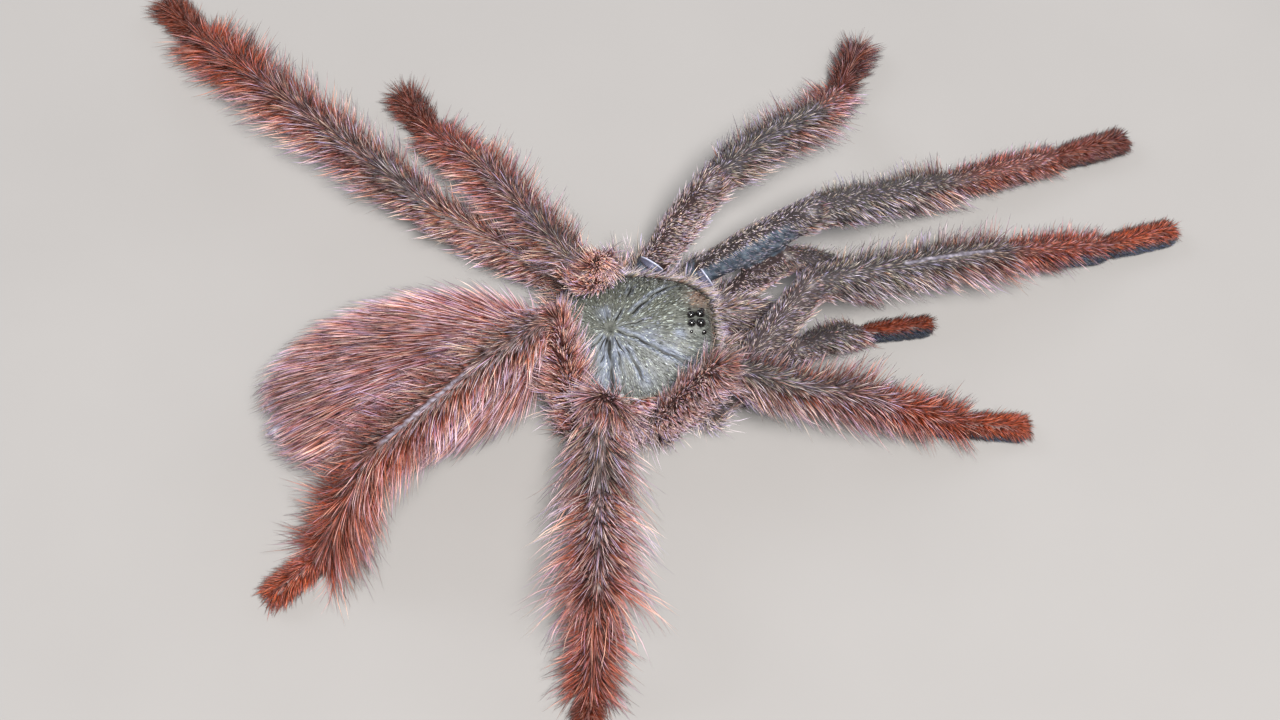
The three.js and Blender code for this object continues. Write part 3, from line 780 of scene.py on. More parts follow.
def read_trunk(places, body):
    """The trunk between the limbs, under the edge of the carapace."""
    x, y, z = (places - HOME).T
    share, _ = carapace_share(x, y)
    own = (share < 0.8) & (z > 3.0) & (z < CARAPACE_MARGIN_Z + 0.8)
    own &= ~is_kind(body, "chelicera", "femur", "abdomen")
    body["limb"][own] = TRUNK
    body["kind"][own] = KINDS.index("trunk")
    body["coat"][own] = 1.2
    loose = body["limb"] == TRUNK
    body["way"][loose] = unit(np.stack([x, y, np.full(len(x), -0.5)], axis=1))[loose]
    body["down"][loose] = (0.5 + x / 30)[loose]
    body["angle"][loose] = np.arctan2(y, z - 4.0)[loose]


def is_kind(body, *kinds):
    return np.isin(body["kind"], [KINDS.index(kind) for kind in kinds])


def top_band(body):
    """The band along the top of a leg's outer segments, where the coat is short and grey."""
    band = smooth_step(0.72, 0.93, np.cos(body["angle"])) * (0.4 + 0.6 * body["grey"])
    return band * is_kind(body, "patella", "tibia", "metatarsus")


def marks_of(body):
    """The coat's markings: x is grey (-1 on the salmon abdomen), y the orange of the
    feet, z the slate of the pads under them."""
    fraction, top = body["fraction"], np.cos(body["angle"])
    grey = body["grey"] * (0.55 + 0.45 * smooth_step(-0.4, 0.4, top))
    band = top_band(body)
    marks = np.zeros((len(fraction), 3))
    tibia, metatarsus, tarsus = (is_kind(body, kind) for kind in ("tibia", "metatarsus", "tarsus"))
    marks[:, 0] = np.where(is_kind(body, "femur", "patella"), 0.2 + 0.85 * grey + 0.7 * band, grey)
    marks[:, 0] = np.where(is_kind(body, "coxa", "trunk"), 0.55 + 0.4 * body["grey"], marks[:, 0])
    marks[:, 0] = np.where(tibia, grey * (1.0 - 0.4 * fraction) + 0.7 * band, marks[:, 0])
    low = metatarsus * body["grey"] * smooth_step(0.6, -0.2, top)
    ankle = 1 - smooth_step(0.0, 0.35, fraction)
    ankle_grey = 0.3 * (grey + band * (1 - fraction)) + 0.3 * ankle * (grey + band) + 0.5 * low
    marks[:, 0] = np.where(metatarsus, ankle_grey, marks[:, 0])
    marks[:, 0] = np.clip(np.where(tarsus, 0, marks[:, 0]), 0, 1)
    foot = metatarsus * (0.4 + 0.6 * smooth_step(0.0, 0.5, fraction)) + tarsus
    shin = 0.4 * tibia * smooth_step(0.35, 1.0, fraction) * (1 - 0.7 * band)
    marks[:, 1] = body["orange"] * (foot + shin) * (1 - 0.6 * low * (1 - 0.5 * fraction))
    under = smooth_step(0.15, -0.3, np.cos(body["angle"] - body["roll"]))
    marks[:, 2] = under * (metatarsus * smooth_step(0.3, 0.8, fraction) + tarsus)
    marks[is_kind(body, "abdomen")] = [-1.0, 0, 0]
    marks[is_kind(body, "spinneret")] = [0.9, 0, 0]
    marks[membrane_of(body) > 0.5] = [0.6, 0, 0.7]
    return marks


STRIPE_HALF_ANGLE = 0.07         # half the bare line's width round the tibia, in radians


def stripe_of(body):
    """The bare silvery line along the top of a tibia."""
    tibia = is_kind(body, "tibia") * body["line"]
    ends = smooth_step(0.02, 0.1, body["fraction"]) * (1 - smooth_step(0.85, 0.95, body["fraction"]))
    off = np.abs(body["angle"] + 0.03 * np.sin(body["down"] * 30))
    return tibia * ends * (1 - smooth_step(STRIPE_HALF_ANGLE, STRIPE_HALF_ANGLE * 2, off))


# The hips where the coat parts over the hinge, and how far the hinge plate is moved.
BARE_HIPS = {"leg_left_1": (0.9, -0.5, 1.75), "leg_left_2": (0.1, 0.0, 1.95)}
plated_legs = [limb for limb in legs if limb["name"] in BARE_HIPS]


def hinge_place(limb):
    """The middle of the hinge plate on the body side of a hip."""
    root, hip = limb["path"][:2]
    return hip + unit((root - hip) * [1, 1, 0]) * 0.9 + BARE_HIPS[limb["name"]]


def membrane_of(body):
    """Bare slate skin: the folds on top of the hips, and the inner flank of the femur
    on the front legs."""
    near = is_kind(body, "coxa") & (body["fraction"] > 0.8)
    near |= is_kind(body, "femur") & (body["fraction"] < 0.06)
    bare_hips = [n for n, limb in enumerate(legs) if limb["name"] in BARE_HIPS]
    fold = near & (np.abs(body["angle"]) < 1.2) & np.isin(body["limb"], bare_hips)
    front = [n for n, limb in enumerate(legs) if limb["name"].endswith("_1")]
    sign = np.where(body["limb"] == front[0], 1, -1)
    inner = body["angle"] * sign
    below_top = smooth_step(0.0, 0.2, inner - np.where(sign > 0, 1.2, 0.5))
    flank = np.isin(body["limb"], front) & is_kind(body, "femur")
    flank = flank * below_top * (1 - smooth_step(2.4, 2.7, inner))
    return np.maximum(fold, flank * (1 - smooth_step(0.8, 0.95, body["fraction"])))


def finish_skin(skin):
    """Stores the markings on the skin, which stands for all the solids of flesh."""
    places = vertex_array(skin.data)
    body = read_body(places)
    store_vectors(skin.data, "marks", marks_of(body))
    bare = np.zeros((len(places), 3))
    bare[:, 0] = np.maximum(stripe_of(body), 0.8 * is_kind(body, "spinneret"))
    bare[:, 1] = membrane_of(body)
    store_vectors(skin.data, "bare", bare)
    flesh = [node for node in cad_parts
             if not node.startswith(("carapace", "eye_", "fang_"))]
    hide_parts(*flesh)
    return settle(skin, "skin", skin_material())


# ----------------------------------------------------------------- the carapace

# The grooves that ray out from the fovea: angle from the nose in degrees, left
# positive; how far out each starts and ends (1 is the edge); depth; half width.
GROOVES = (
    (-94, 0.08, 0.94, 0.40, 0.17), (-111, 0.08, 0.66, 0.20, 0.12), (-123, 0.10, 0.60, 0.12, 0.08),
    (-140, 0.10, 0.70, 0.16, 0.10), (-163, 0.12, 0.50, 0.08, 0.06), (-80, 0.30, 0.85, 0.10, 0.07),
    (-68, 0.08, 0.50, 0.12, 0.08), (-61, 0.30, 0.86, 0.18, 0.10), (-29, 0.06, 0.93, 0.22, 0.11),
    (12, 0.06, 0.30, 0.08, 0.06), (37, 0.30, 0.90, 0.22, 0.11), (58, 0.08, 0.38, 0.15, 0.08),
    (62, 0.52, 0.82, 0.17, 0.10), (87, 0.08, 0.34, 0.10, 0.06), (101, 0.10, 0.48, 0.13, 0.08),
    (128, 0.12, 0.50, 0.10, 0.07), (152, 0.10, 0.45, 0.08, 0.06),
)
GROOVE_REACH = 7.5               # where a groove's start is 1, in mm from the fovea


def carapace_details(x, y):
    """How much of a groove each place on the top is, how deep it is there, and how much
    of the raised ridge beside one, which is painted with a silver sheen."""
    from_fovea = np.stack([x - FOVEA_X, y], axis=-1)
    distance = np.linalg.norm(from_fovea, axis=-1)
    groove, depth, gleam = (np.zeros_like(distance) for _ in range(3))
    share, _ = carapace_share(x, y)
    for degrees, start, end, deep, half in GROOVES:
        turn = math.radians(degrees)
        bend = 0.12 * np.sin(distance * 0.9 + degrees) + 0.05 * np.sin(distance * 3.1 + degrees)
        along = from_fovea @ np.array([math.cos(turn), math.sin(turn)])
        off = np.abs(from_fovea @ np.array([-math.sin(turn), math.cos(turn)]) + bend)
        fade = 0.7 + 0.3 * np.sin(distance * 2.1 + degrees * 1.7)
        inside = smooth_step(start, start + 0.08, distance / GROOVE_REACH)
        inside = inside * (1 - smooth_step(end - 0.15, end, share))
        inside = np.where(along > 0, inside, 0)
        groove = np.maximum(groove, np.exp(-(off / half) ** 2) * inside * fade)
        depth = np.maximum(depth, deep * np.exp(-(off / (half * 2.2)) ** 2) * inside)
        beside = np.exp(-((off - 3 * half) / (1.5 * half)) ** 2)
        gleam = np.maximum(gleam, beside * inside * min(1, deep * 4))
    # The fovea's pit is darkened as well, partly painted shade.
    pit = np.exp(-((x - FOVEA_X) / 0.18) ** 2 - (y / 0.4) ** 2)
    return np.maximum(groove, 0.45 * pit), np.maximum(depth, 0.4 * pit), gleam


def carapace_surface(x, y):
    """The height of the finished top, how much of a groove a place is, and its share."""
    share, turn = carapace_share(x, y)
    top = carapace_top(np.minimum(share, 1), turn)
    groove, depth, gleam = carapace_details(x, y)
    off = ((x - TUBERCLE[0]) / TUBERCLE_RADII[0]) ** 2 + ((y - TUBERCLE[1]) / TUBERCLE_RADII[1]) ** 2
    mound = TUBERCLE[2] + TUBERCLE_RADII[2] * np.sqrt(np.maximum(0, 1 - off)) - top
    foot = np.exp(-np.maximum(0, off - 0.8) * 2.5) * 0.35
    lift = np.maximum(np.where(off < 1, np.maximum(0, mound), 0), foot)
    return top - depth + 0.06 * gleam + lift, groove, share


EYES = {                         # forward of the tubercle, out, above it, radius
    "front_middle": (0.42, 0.5, 0.84, 0.46),
    "front_side": (0.68, 1.2, 0.16, 0.28),
    "rear_side": (-0.55, 1.15, 0.38, 0.26),
    "rear_middle": (-0.47, 0.46, 0.86, 0.39),
}
eye_places = {f"{name}_{side}": (TUBERCLE + [forward, out * side_sign(side), above], radius)
              for name, (forward, out, above, radius) in EYES.items() for side in ("right", "left")}

# Patches where the pile and plate are silver instead of olive, partly silver hairs and partly painted
# sheen: forward, left, reach, strength.
SILVER_AND_SHEEN_PATCHES = ((-3.3, -4.9, 0.7, 1.0), (-3.2, -3.4, 0.6, 0.9), (1.3, -1.0, 0.9, 0.6), (3.2, -3.0, 0.8, 0.6),
          (4.4, -1.3, 0.5, 0.9), (-1.3, -2.4, 0.7, 0.6), (-2.9, 1.9, 0.7, 0.6), (0.8, -5.2, 0.8, 0.5))


def silver_and_painted_sheen(x, y):
    """How silver the pile and plate are: patches and ridges, partly silver hairs and partly painted sheen,
    over a faint painted sheen on the right side.
    """
    amount = 0.1 + 0.16 * smooth_step(1.5, -4.0, y) + 0.8 * carapace_details(x, y)[2]
    for forward, left, reach, strength in SILVER_AND_SHEEN_PATCHES:
        amount = amount + strength * np.exp(-((x - forward) ** 2 + (y - left) ** 2) / reach ** 2)
    return np.clip(amount, 0, 1)


def build_carapace():
    """A dense ball pressed into the plate's form: domed above, flat below its rim."""
    start_clean()
    bpy.ops.mesh.primitive_uv_sphere_add(segments=400, ring_count=150, radius=1, location=(0, 0, 0))
    shell = bpy.context.object
    ball = vertex_array(shell.data)
    polar = np.arccos(np.clip(ball[:, 2], -1, 1)) / (math.pi / 2)
    angle = np.arctan2(ball[:, 1], ball[:, 0])
    angle[np.hypot(ball[:, 0], ball[:, 1]) < 1e-6] = 0
    seen_angle = np.unwrap(np.arctan2(outline_y, outline_x - FOVEA_X))
    edge_x = np.interp(angle, seen_angle, outline_x)
    edge_y = np.interp(angle, seen_angle, outline_y)
    over = polar <= 1.0001
    reach = np.where(over, polar, 2 - polar) ** 0.85
    x = FOVEA_X + (edge_x - FOVEA_X) * reach
    y = edge_y * reach
    top, groove, share = carapace_surface(x, y)
    under = CARAPACE_MARGIN_Z - CARAPACE_EDGE * np.sqrt(np.maximum(0, 1 - np.minimum(share, 1) ** 6))
    z = np.where(over, top + 0.12 * smooth_step(0.93, 1.0, share), under)
    shell.data.vertices.foreach_set("co", (np.stack([x, y, z], axis=1) + HOME).ravel())
    rays = np.stack([np.cos(angle) * 9, np.sin(angle) * 9, reach * 1.2], axis=1)
    store_vectors(shell.data, "rays", rays)
    # A dark ring round each middle eye, partly dark cuticle and partly painted shade where the dome meets
    # the plate.
    for place, radius in (eye for name, eye in eye_places.items() if "middle" in name):
        off = np.hypot(x - place[0], y - place[1])
        groove = np.maximum(groove, 1 - smooth_step(radius - 0.02, radius + 0.08, off))
    dark = np.where(over, smooth_step(0.2, 0.6, groove), 0)
    brown = np.maximum(smooth_step(0.9, 1.0, share), np.where(over, cheek(x, y), 0))
    # The form's last number is the silver, partly painted sheen.
    form = np.stack([dark, np.minimum(brown, 1), silver_and_painted_sheen(x, y)], axis=1)
    store_vectors(shell.data, "form", form)
    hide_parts("carapace")
    return settle(shell, "carapace_plate", carapace_material())


# --------------------------------------- eyes, fangs, claws and the plates at the hips


def build_eyes():
    """Each eye is a ball whose lower part is drawn in, where it sits in its socket."""
    cornea = cornea_material()
    for name, (place, radius) in eye_places.items():
        start_clean()
        centre = place + HOME
        bpy.ops.mesh.primitive_uv_sphere_add(segments=32, ring_count=20, radius=radius, location=centre)
        eye = bpy.context.object
        bpy.ops.object.mode_set(mode="EDIT")
        bpy.ops.mesh.select_all(action="DESELECT")
        ball = bmesh.from_edit_mesh(eye.data)
        for face in ball.faces:
            face.select = face.calc_center_median().z < -radius * 0.6
        bmesh.update_edit_mesh(eye.data)
        bpy.ops.transform.resize(value=(0.7, 0.7, 0.9), center_override=tuple(centre))
        bpy.ops.object.mode_set(mode="OBJECT")
        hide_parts(f"eye_{name}")
        settle(eye, f"eye_lens_{name}", cornea)


def build_horn(name, points, radii, horn, sides=16):
    """A tapering curved horn, drawn out from its root to a sharp tip."""
    draw_out(points, radii, sides, points[1] - points[0])
    piece = close_up()
    apply_modifier(piece, "SUBSURF", levels=1, render_levels=1)
    return settle(piece, name, horn)


# The left fang is an arc under its chelicera: its centre, its reach forward and down, the
# turn at its root and tip in degrees, and its radius there.
FANG = {"centre": (11.9, 1.95, 2.6), "reach": (2.3, 1.5), "turn": (20, 165), "radii": (0.62, 0.06)}
FANG_RINGS = 9


def build_fangs(horn):
    """Two folded fangs, each a crescent that ends in a sharp tip."""
    forward, down = FANG["reach"]
    turn = np.radians(np.linspace(*FANG["turn"], FANG_RINGS))
    for side in ("right", "left"):
        x, y, z = np.array(FANG["centre"]) * [1, side_sign(side), 1] + HOME
        points = [x + forward * np.cos(turn), np.full(FANG_RINGS, y), z - down * np.sin(turn)]
        radii = np.linspace(*FANG["radii"], FANG_RINGS)
        fang = build_horn(f"fang_horn_{side}", np.stack(points, axis=1), radii, horn)
        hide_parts(f"fang_{side}")


CLAW_RINGS = 6
CLAW_RADII = (0.16, 0.02)        # at the root and at the tip


def build_claws(horn):
    """Two small hooked claws at the tip of each leg, half sunk in the tuft."""
    for limb in legs:
        toe, ankle = limb["path"][-1], limb["path"][-2]
        way = unit(toe - ankle)
        across = np.cross([0, 0, 1.0], way)
        turn = np.linspace(0, 1, CLAW_RINGS)[:, None]
        for sign, letter in ((1, "a"), (-1, "b")):
            points = toe + way * (0.7 + 1.2 * turn) + across * sign * (0.28 + 0.12 * turn)
            points = points + np.array([0, 0, 1.0]) * (0.35 + 0.35 * turn - 1.0 * turn ** 2)
            radii = np.linspace(*CLAW_RADII, CLAW_RINGS)
            build_horn(f"claw_{limb['name']}_{letter}", points, radii, horn, sides=8)


# A hinge plate: half its length and width, its depth, the height of its keel, and how it
# is turned from the line of the coxa, in degrees.
PLATE_REACH = (1.4, 0.46)
PLATE_DEPTH = 0.3
KEEL = 0.32
PLATE_TURN = 120


def build_hip_plates():
    """The bare lens-shaped hinge plate on the body side of each hip, with a raised keel."""
    waxy = sclerite_material()
    for limb in plated_legs:
        start_clean()
        root, hip = limb["path"][:2]
        turn = math.atan2(*(hip - root)[1::-1]) - math.radians(PLATE_TURN) * side_sign(limb["name"])
        bpy.ops.mesh.primitive_uv_sphere_add(segments=24, ring_count=14, radius=1, location=(0, 0, 0))
        plate = bpy.context.object
        lens = vertex_array(plate.data)
        narrow = PLATE_REACH[1] * (1 - 0.35 * lens[:, 0] ** 2)
        keel = KEEL * np.exp(-((lens[:, 1] - 0.25) / 0.3) ** 2) * (lens[:, 2] > 0)
        shaped = np.stack([lens[:, 0] * PLATE_REACH[0], lens[:, 1] * narrow + 0.22 * lens[:, 0] ** 2,
                           lens[:, 2] * PLATE_DEPTH + keel - 0.5 * lens[:, 0] ** 2], axis=1)
        spin = np.array(Matrix.Rotation(turn, 3, "Z"))
        plate.data.vertices.foreach_set("co", (shaped @ spin.T + hinge_place(limb)).ravel())
        # The form's numbers carry the share of the painted highlight along the keel.
        store_vectors(plate.data, "form", np.stack([keel / KEEL, keel, keel], axis=1))
        settle(plate, f"hip_plate_{limb['name'][4:]}", waxy)


# --------------------------------------------------------------------- the coat


def scatter(mesh, density, sort_faces=False):
    """Places spread evenly over a mesh's surface, so many to a square millimetre, with the
    normals there. The faces of a ball come in a new order each run, so they are sorted."""
    count = int(sum(face.area for face in mesh.polygons) / MM ** 2 * density)
    places = vertex_array(mesh) / MM
    mesh.calc_loop_triangles()
    corners = np.empty(len(mesh.loop_triangles) * 3, dtype=np.int32)
    mesh.loop_triangles.foreach_get("vertices", corners)
    corners = corners.reshape(-1, 3)
    if sort_faces:
        corners = corners[np.lexsort(corners.T)]
    normals = np.empty(len(mesh.vertices) * 3)
    mesh.vertices.foreach_get("normal", normals)
    normals = normals.reshape(-1, 3)
    a, b, c = (places[corners[:, k]] for k in range(3))
    area = np.linalg.norm(np.cross(b - a, c - a), axis=1)
    chosen = rng.choice(len(corners), size=count, p=area / area.sum())
    u, v = rng.random(count), rng.random(count)
    flip = u + v > 1
    u[flip], v[flip] = 1 - u[flip], 1 - v[flip]
    weights = np.stack([1 - u - v, u, v], axis=1)
    points = np.einsum("nk,nkd->nd", weights, places[corners[chosen]])
    return points, unit(np.einsum("nk,nkd->nd", weights, normals[corners[chosen]]))


def hair_shape(joints):
    """Faces and map places of one three-sided hair with a number of rings and a tip."""
    faces = [(2, 1, 0)]
    patch = [(1.0, 0.02), (0.5, 0.0), (0.0, 0.02)]
    for ring in range(joints - 1):
        low, high = ring * 3, ring * 3 + 3
        v0, v1 = ring / joints, (ring + 1) / joints
        for k in range(3):
            j, u0, u1 = (k + 1) % 3, k / 3, (k + 1) / 3
            faces += [(low + k, low + j, high + j), (low + k, high + j, high + k)]
            patch += [(u0, v0), (u1, v0), (u1, v1), (u0, v0), (u1, v1), (u0, v1)]
    last, v0 = (joints - 1) * 3, (joints - 1) / joints
    for k in range(3):
        faces.append((last + k, last + (k + 1) % 3, last + 3))
        patch += [(k / 3, v0), ((k + 1) / 3, v0), ((k + 0.5) / 3, 1.0)]
    return np.array(faces), np.array(patch)


PATCH = 0.003                    # a hair's patch on the bake map
ROOT_DEPTH = 0.06                # how far a hair's root is sunk in the skin
FLOOR_GAP = 0.03                 # the lowest that a hair comes to the floor


def grow_hairs(roots, normals, ways, length, width, lift, curl, joints, stray):
    """Tapering hairs: they leave the skin at an angle (lift, radians) and bend back
    towards the lie of the coat (curl) as they rise."""
    count = len(roots)
    flat = unit(ways - normals * (ways * normals).sum(1)[:, None])
    side = np.cross(flat, normals)
    flat = unit(flat + side * (rng.normal(0, 1, count) * stray)[:, None])
    points = [roots - normals * ROOT_DEPTH]
    step = (length / joints)[:, None]
    for place in np.linspace(0, 1, joints + 1)[1:]:
        angle = (lift * (1 - curl * place))[:, None]
        points.append(points[-1] + (flat * np.cos(angle) + normals * np.sin(angle)) * step)
    points = np.stack(points, axis=1)
    points[:, :, 2] = np.maximum(points[:, :, 2], FLOOR_GAP)
    heading = unit(points[:, -1] - points[:, 0])
    first = unit(np.cross(heading, normals) + 1e-6)
    second = np.cross(heading, first)
    corners = []
    for ring in range(joints):
        radius = (width / 2 * (1 - 0.6 * ring / joints))[:, None]
        for turn in np.radians((0, 120, 240)):
            corners.append(points[:, ring] + radius * (first * math.cos(turn) + second * math.sin(turn)))
    corners.append(points[:, joints])
    along = np.concatenate([np.repeat(np.arange(joints) / joints, 3), [1.0]])
    return np.stack(corners, axis=1), along


def coat_piece(name, material, batches):
    """Joins batches of hairs into one mesh, with its bake map and its attributes."""
    corners, faces, maps, hairs, marks = [], [], [], [], []
    base = 0
    for batch in batches:
        shape, patch = hair_shape(batch["joints"])
        count, each = batch["corners"].shape[:2]
        corners.append(batch["corners"].reshape(-1, 3))
        faces.append((shape[None] + (np.arange(count) * each)[:, None, None]).reshape(-1, 3) + base)
        maps.append((batch["map"][:, None] + (patch[None] - 0.5) * PATCH).reshape(-1, 2))
        own = np.empty((count, each, 3))
        own[:, :, 0] = batch["along"][None]
        own[:, :, 1] = batch["tone"][:, None]
        own[:, :, 2] = batch["pale"][:, None]
        hairs.append(own.reshape(-1, 3))
        marks.append(np.repeat(batch["marks"], each, axis=0))
        base += count * each
    corners, faces = np.concatenate(corners), np.concatenate(faces)
    mesh = bpy.data.meshes.new(name)
    mesh.vertices.add(len(corners))
    mesh.vertices.foreach_set("co", corners.astype(np.float32).ravel())
    mesh.loops.add(len(faces) * 3)
    mesh.loops.foreach_set("vertex_index", faces.astype(np.int32).ravel())
    mesh.polygons.add(len(faces))
    mesh.polygons.foreach_set("loop_start", np.arange(len(faces), dtype=np.int32) * 3)
    mesh.update(calc_edges=True)
    layer = mesh.uv_layers.new(name="OFBake")
    layer.data.foreach_set("uv", np.concatenate(maps).astype(np.float32).ravel())
    store_vectors(mesh, "hair", np.concatenate(hairs))
    store_vectors(mesh, "marks", np.concatenate(marks))
    piece = bpy.data.objects.new(name, mesh)
    bpy.context.scene.collection.objects.link(piece)
    return settle(piece, name, material)


def pick(table, keep):
    """The rows to keep, of every column of a table."""
    return {key: value[keep] for key, value in table.items()}


# The coat's three layers: hairs per square mm; length in mm, or as a share of the
# coat's depth; width at the root; lift in degrees; paleness of the tip.
LAYERS = (
    {"density": 26, "length": (1.1, 1.8), "of_coat": False, "width": (0.09, 0.12), "lift": (14, 30),
     "curl": 0.4, "joints": 1, "pale": (0.0, 0.25)},
    {"density": 14.5, "length": (0.7, 1.15), "of_coat": True, "width": (0.08, 0.11), "lift": (26, 44),
     "curl": 0.4, "joints": 2, "pale": (0.1, 0.7)},
    {"density": 6, "length": (1.2, 1.9), "of_coat": True, "width": (0.085, 0.11), "lift": (44, 68),
     "curl": 0.5, "joints": 3, "pale": (0.5, 1.0)},
)

# For each kind of segment: how much the hairs stand, the share of long ones, how
# untidily they lie, and the share of their roots that is kept.
HABIT = {
    "coxa": (0.8, 0.6, 0.35, 0.7), "femur": (0.85, 0.6, 0.14, 0.75), "patella": (0.95, 0.9, 0.14, 0.75),
    "tibia": (1.15, 1.0, 0.11, 0.8), "metatarsus": (1.35, 0.6, 0.12, 1.0), "tarsus": (1.1, 0.12, 0.12, 1.0),
    "chelicera": (0.9, 0.8, 0.2, 0.75), "spinneret": (0.5, 0.0, 0.2, 0.5), "abdomen": (0.5, 0.8, 0.06, 0.8),
    "trunk": (0.6, 0.4, 0.35, 0.8),
}

# The segments whose hairs grow longer towards their far end.
SEGMENTED = ("femur", "patella", "tibia", "metatarsus")


def between(span, count):
    """Numbers drawn at random from a span."""
    return span[0] + (span[1] - span[0]) * rng.random(count)


def flatness(body):
    """Where the coat lies flat and short: the band on top, and the velvet of grey femora."""
    velvet = smooth_step(0.4, 0.8, body["grey"]) * smooth_step(-0.2, 0.5, np.cos(body["angle"]))
    beside_line = body["line"] * is_kind(body, "tibia")
    beside_line = beside_line * (1 - smooth_step(0.15, 0.4, np.abs(body["angle"])))
    return np.maximum(np.maximum(top_band(body), beside_line), velvet * is_kind(body, "femur"))


# Where the middle of the clearing at a bare hip lies, told from its hinge plate, and how
# far the clearing reaches.
HINGE_CLEARING = np.array([0, -0.45, -0.7])
CLEARING_REACH = 1.3


def bald(points, body, long_hairs):
    """The roots to leave out: under the carapace, on bare skin and under the soles, on
    the abdomen's underside, and by each segment's habit."""
    x, y, z = (points - HOME).T
    share, _ = carapace_share(x, y)
    draw = rng.random(len(points))
    gone = (share < 0.98) & (z > 3.6) & is_kind(body, "trunk", "coxa")
    gone |= draw < smooth_step(0.3, 0.8, stripe_of(body)) * 1.3
    gone |= (membrane_of(body) > 0.5) & ((draw > 0.45) | long_hairs)
    gone |= (z < 0.25) & is_kind(body, "tarsus", "metatarsus")
    for limb in plated_legs:
        gone |= np.linalg.norm(points - hinge_place(limb) - HINGE_CLEARING, axis=1) < CLEARING_REACH
    gone |= is_kind(body, "abdomen") & (np.abs(body["angle"]) > 2.1) & (draw > 0.4)
    _, long_share, _, thickness = np.array([HABIT[kind] for kind in KINDS])[body["kind"]].T
    gone |= rng.random(len(points)) > thickness
    if long_hairs:
        gone |= draw > long_share * (1 - 0.8 * flatness(body))
    return gone


def drift(points, seed):
    """A slow change from -1 to 1 over the body, in patches some 5 mm across."""
    x, y, z = (points - HOME).T
    wave = np.sin(0.62 * x + 0.5 * np.sin(0.8 * y) + seed)
    return wave * np.sin(0.75 * y - 0.35 * x + 0.6 * z + seed * 2)


VELVET = 0.8                     # the longest hair on a pad, bare skin or a spinneret


def coat_batch(skin, layer):
    """All hairs of one layer over the whole skin."""
    points, normals = scatter(skin.data, layer["density"])
    body = read_body(points)
    keep = ~bald(points, body, layer["joints"] == 3)
    points, normals, body = points[keep], normals[keep], pick(body, keep)
    count = len(points)
    marks = marks_of(body)
    pad = is_kind(body, "tarsus", "metatarsus") & (marks[:, 2] > between((0.2, 0.75), count))
    flat = flatness(body)
    length = between(layer["length"], count)
    if layer["of_coat"]:
        length *= np.maximum(body["coat"], 0.8)
        length *= np.where(is_kind(body, *SEGMENTED), 0.8 + 0.3 * body["fraction"], 1)
        length *= np.where(is_kind(body, "metatarsus", "tarsus") & (layer["joints"] == 3), 0.72, 1)
    under = smooth_step(0.0, -0.6, np.cos(body["angle"])) * (body["limb"] < LIMB_COUNT)
    length *= (1 - 0.5 * flat) * (1 - 0.45 * under)
    bare = membrane_of(body) > 0.5
    short = pad | bare | is_kind(body, "spinneret")
    length = np.where(short, np.minimum(length, VELVET), length)
    stand, _, untidy, _ = np.array([HABIT[kind] for kind in KINDS])[body["kind"]].T
    lift = np.radians(between(layer["lift"], count)) * stand * (1 - 0.45 * flat)
    lift = np.where(pad, np.radians(55), np.where(bare, np.radians(9), lift))
    width = between(layer["width"], count)
    corners, along = grow_hairs(points, normals, body["way"], length, width, lift,
                                layer["curl"], layer["joints"], untidy)
    marks[:, 0] = np.where(marks[:, 0] >= 0, np.clip(marks[:, 0] + rng.normal(0, 0.22, count), 0, 1), -1)
    pale = between(layer["pale"], count) + 0.2 * flat + 0.25 * drift(points, 0)
    pale += 0.4 * is_kind(body, "coxa", "trunk") * (body["grey"] > 0.5) + 0.4 * is_kind(body, "spinneret")
    vivid = np.where(is_kind(body, "metatarsus"), 0.4, 0.8) * marks[:, 1]
    pale = np.clip(pale * (1 - vivid) * (1 - 0.7 * marks[:, 2]), 0, 1)
    tone = np.clip(tone_of(body, count) + 0.1 * drift(points, 4), 0, 1)
    return {"corners": corners, "along": along, "joints": layer["joints"],
            "roots": {"tone": tone, "pale": pale, "marks": marks, **body}}


# The legs whose tarsi get no painted shade; the other tarsi are darkened with painted shade, as they lay in
# shadow.
FEET_WITHOUT_PAINTED_SHADE = [n for n, limb in enumerate(legs) if limb["name"][4:] in ("right_1", "right_2", "right_4")]


def tone_of(body, count):
    """Light and dark among the hairs: darker down the middle of the abdomen and at the root
    of each foot, painted shade on all but three of the feet and on a leg whose shade is
    below 1, and pale on the spinnerets."""
    tone = rng.random(count)
    back = is_kind(body, "abdomen") * np.exp(-(body["angle"] / 0.55) ** 2)
    foot = is_kind(body, "tarsus") * (1 - smooth_step(0.05, 0.45, body["fraction"]))
    painted_shade_toes = is_kind(body, "tarsus") & ~np.isin(body["limb"], FEET_WITHOUT_PAINTED_SHADE)
    tip = is_kind(body, "spinneret") * 0.6
    tone = tone * (1 - 0.3 * back) * (1 - 0.7 * foot) * (1 - 0.68 * painted_shade_toes) * (1 - 0.2 * top_band(body))
    return tone * body["shade"] * (1 - tip) + tip


def part_of(batch, numbers):
    """The hairs of one batch on some of the limbs, each limb in its own strip of the map."""
    parts = []
    for cell, number in enumerate(numbers):
        own = batch["roots"]["limb"] == number
        roots = pick(batch["roots"], own)
        along_map = 0.02 + 0.96 * np.clip(roots["down"], 0, 1)
        round_map = 0.02 + 0.96 * (roots["angle"] + math.pi) / (2 * math.pi)
        place = np.stack([along_map, (cell + round_map) / len(numbers)], axis=1)
        parts.append({"corners": batch["corners"][own], "along": batch["along"], "joints": batch["joints"],
                      "tone": roots["tone"], "pale": roots["pale"], "marks": roots["marks"], "map": place})
    return parts


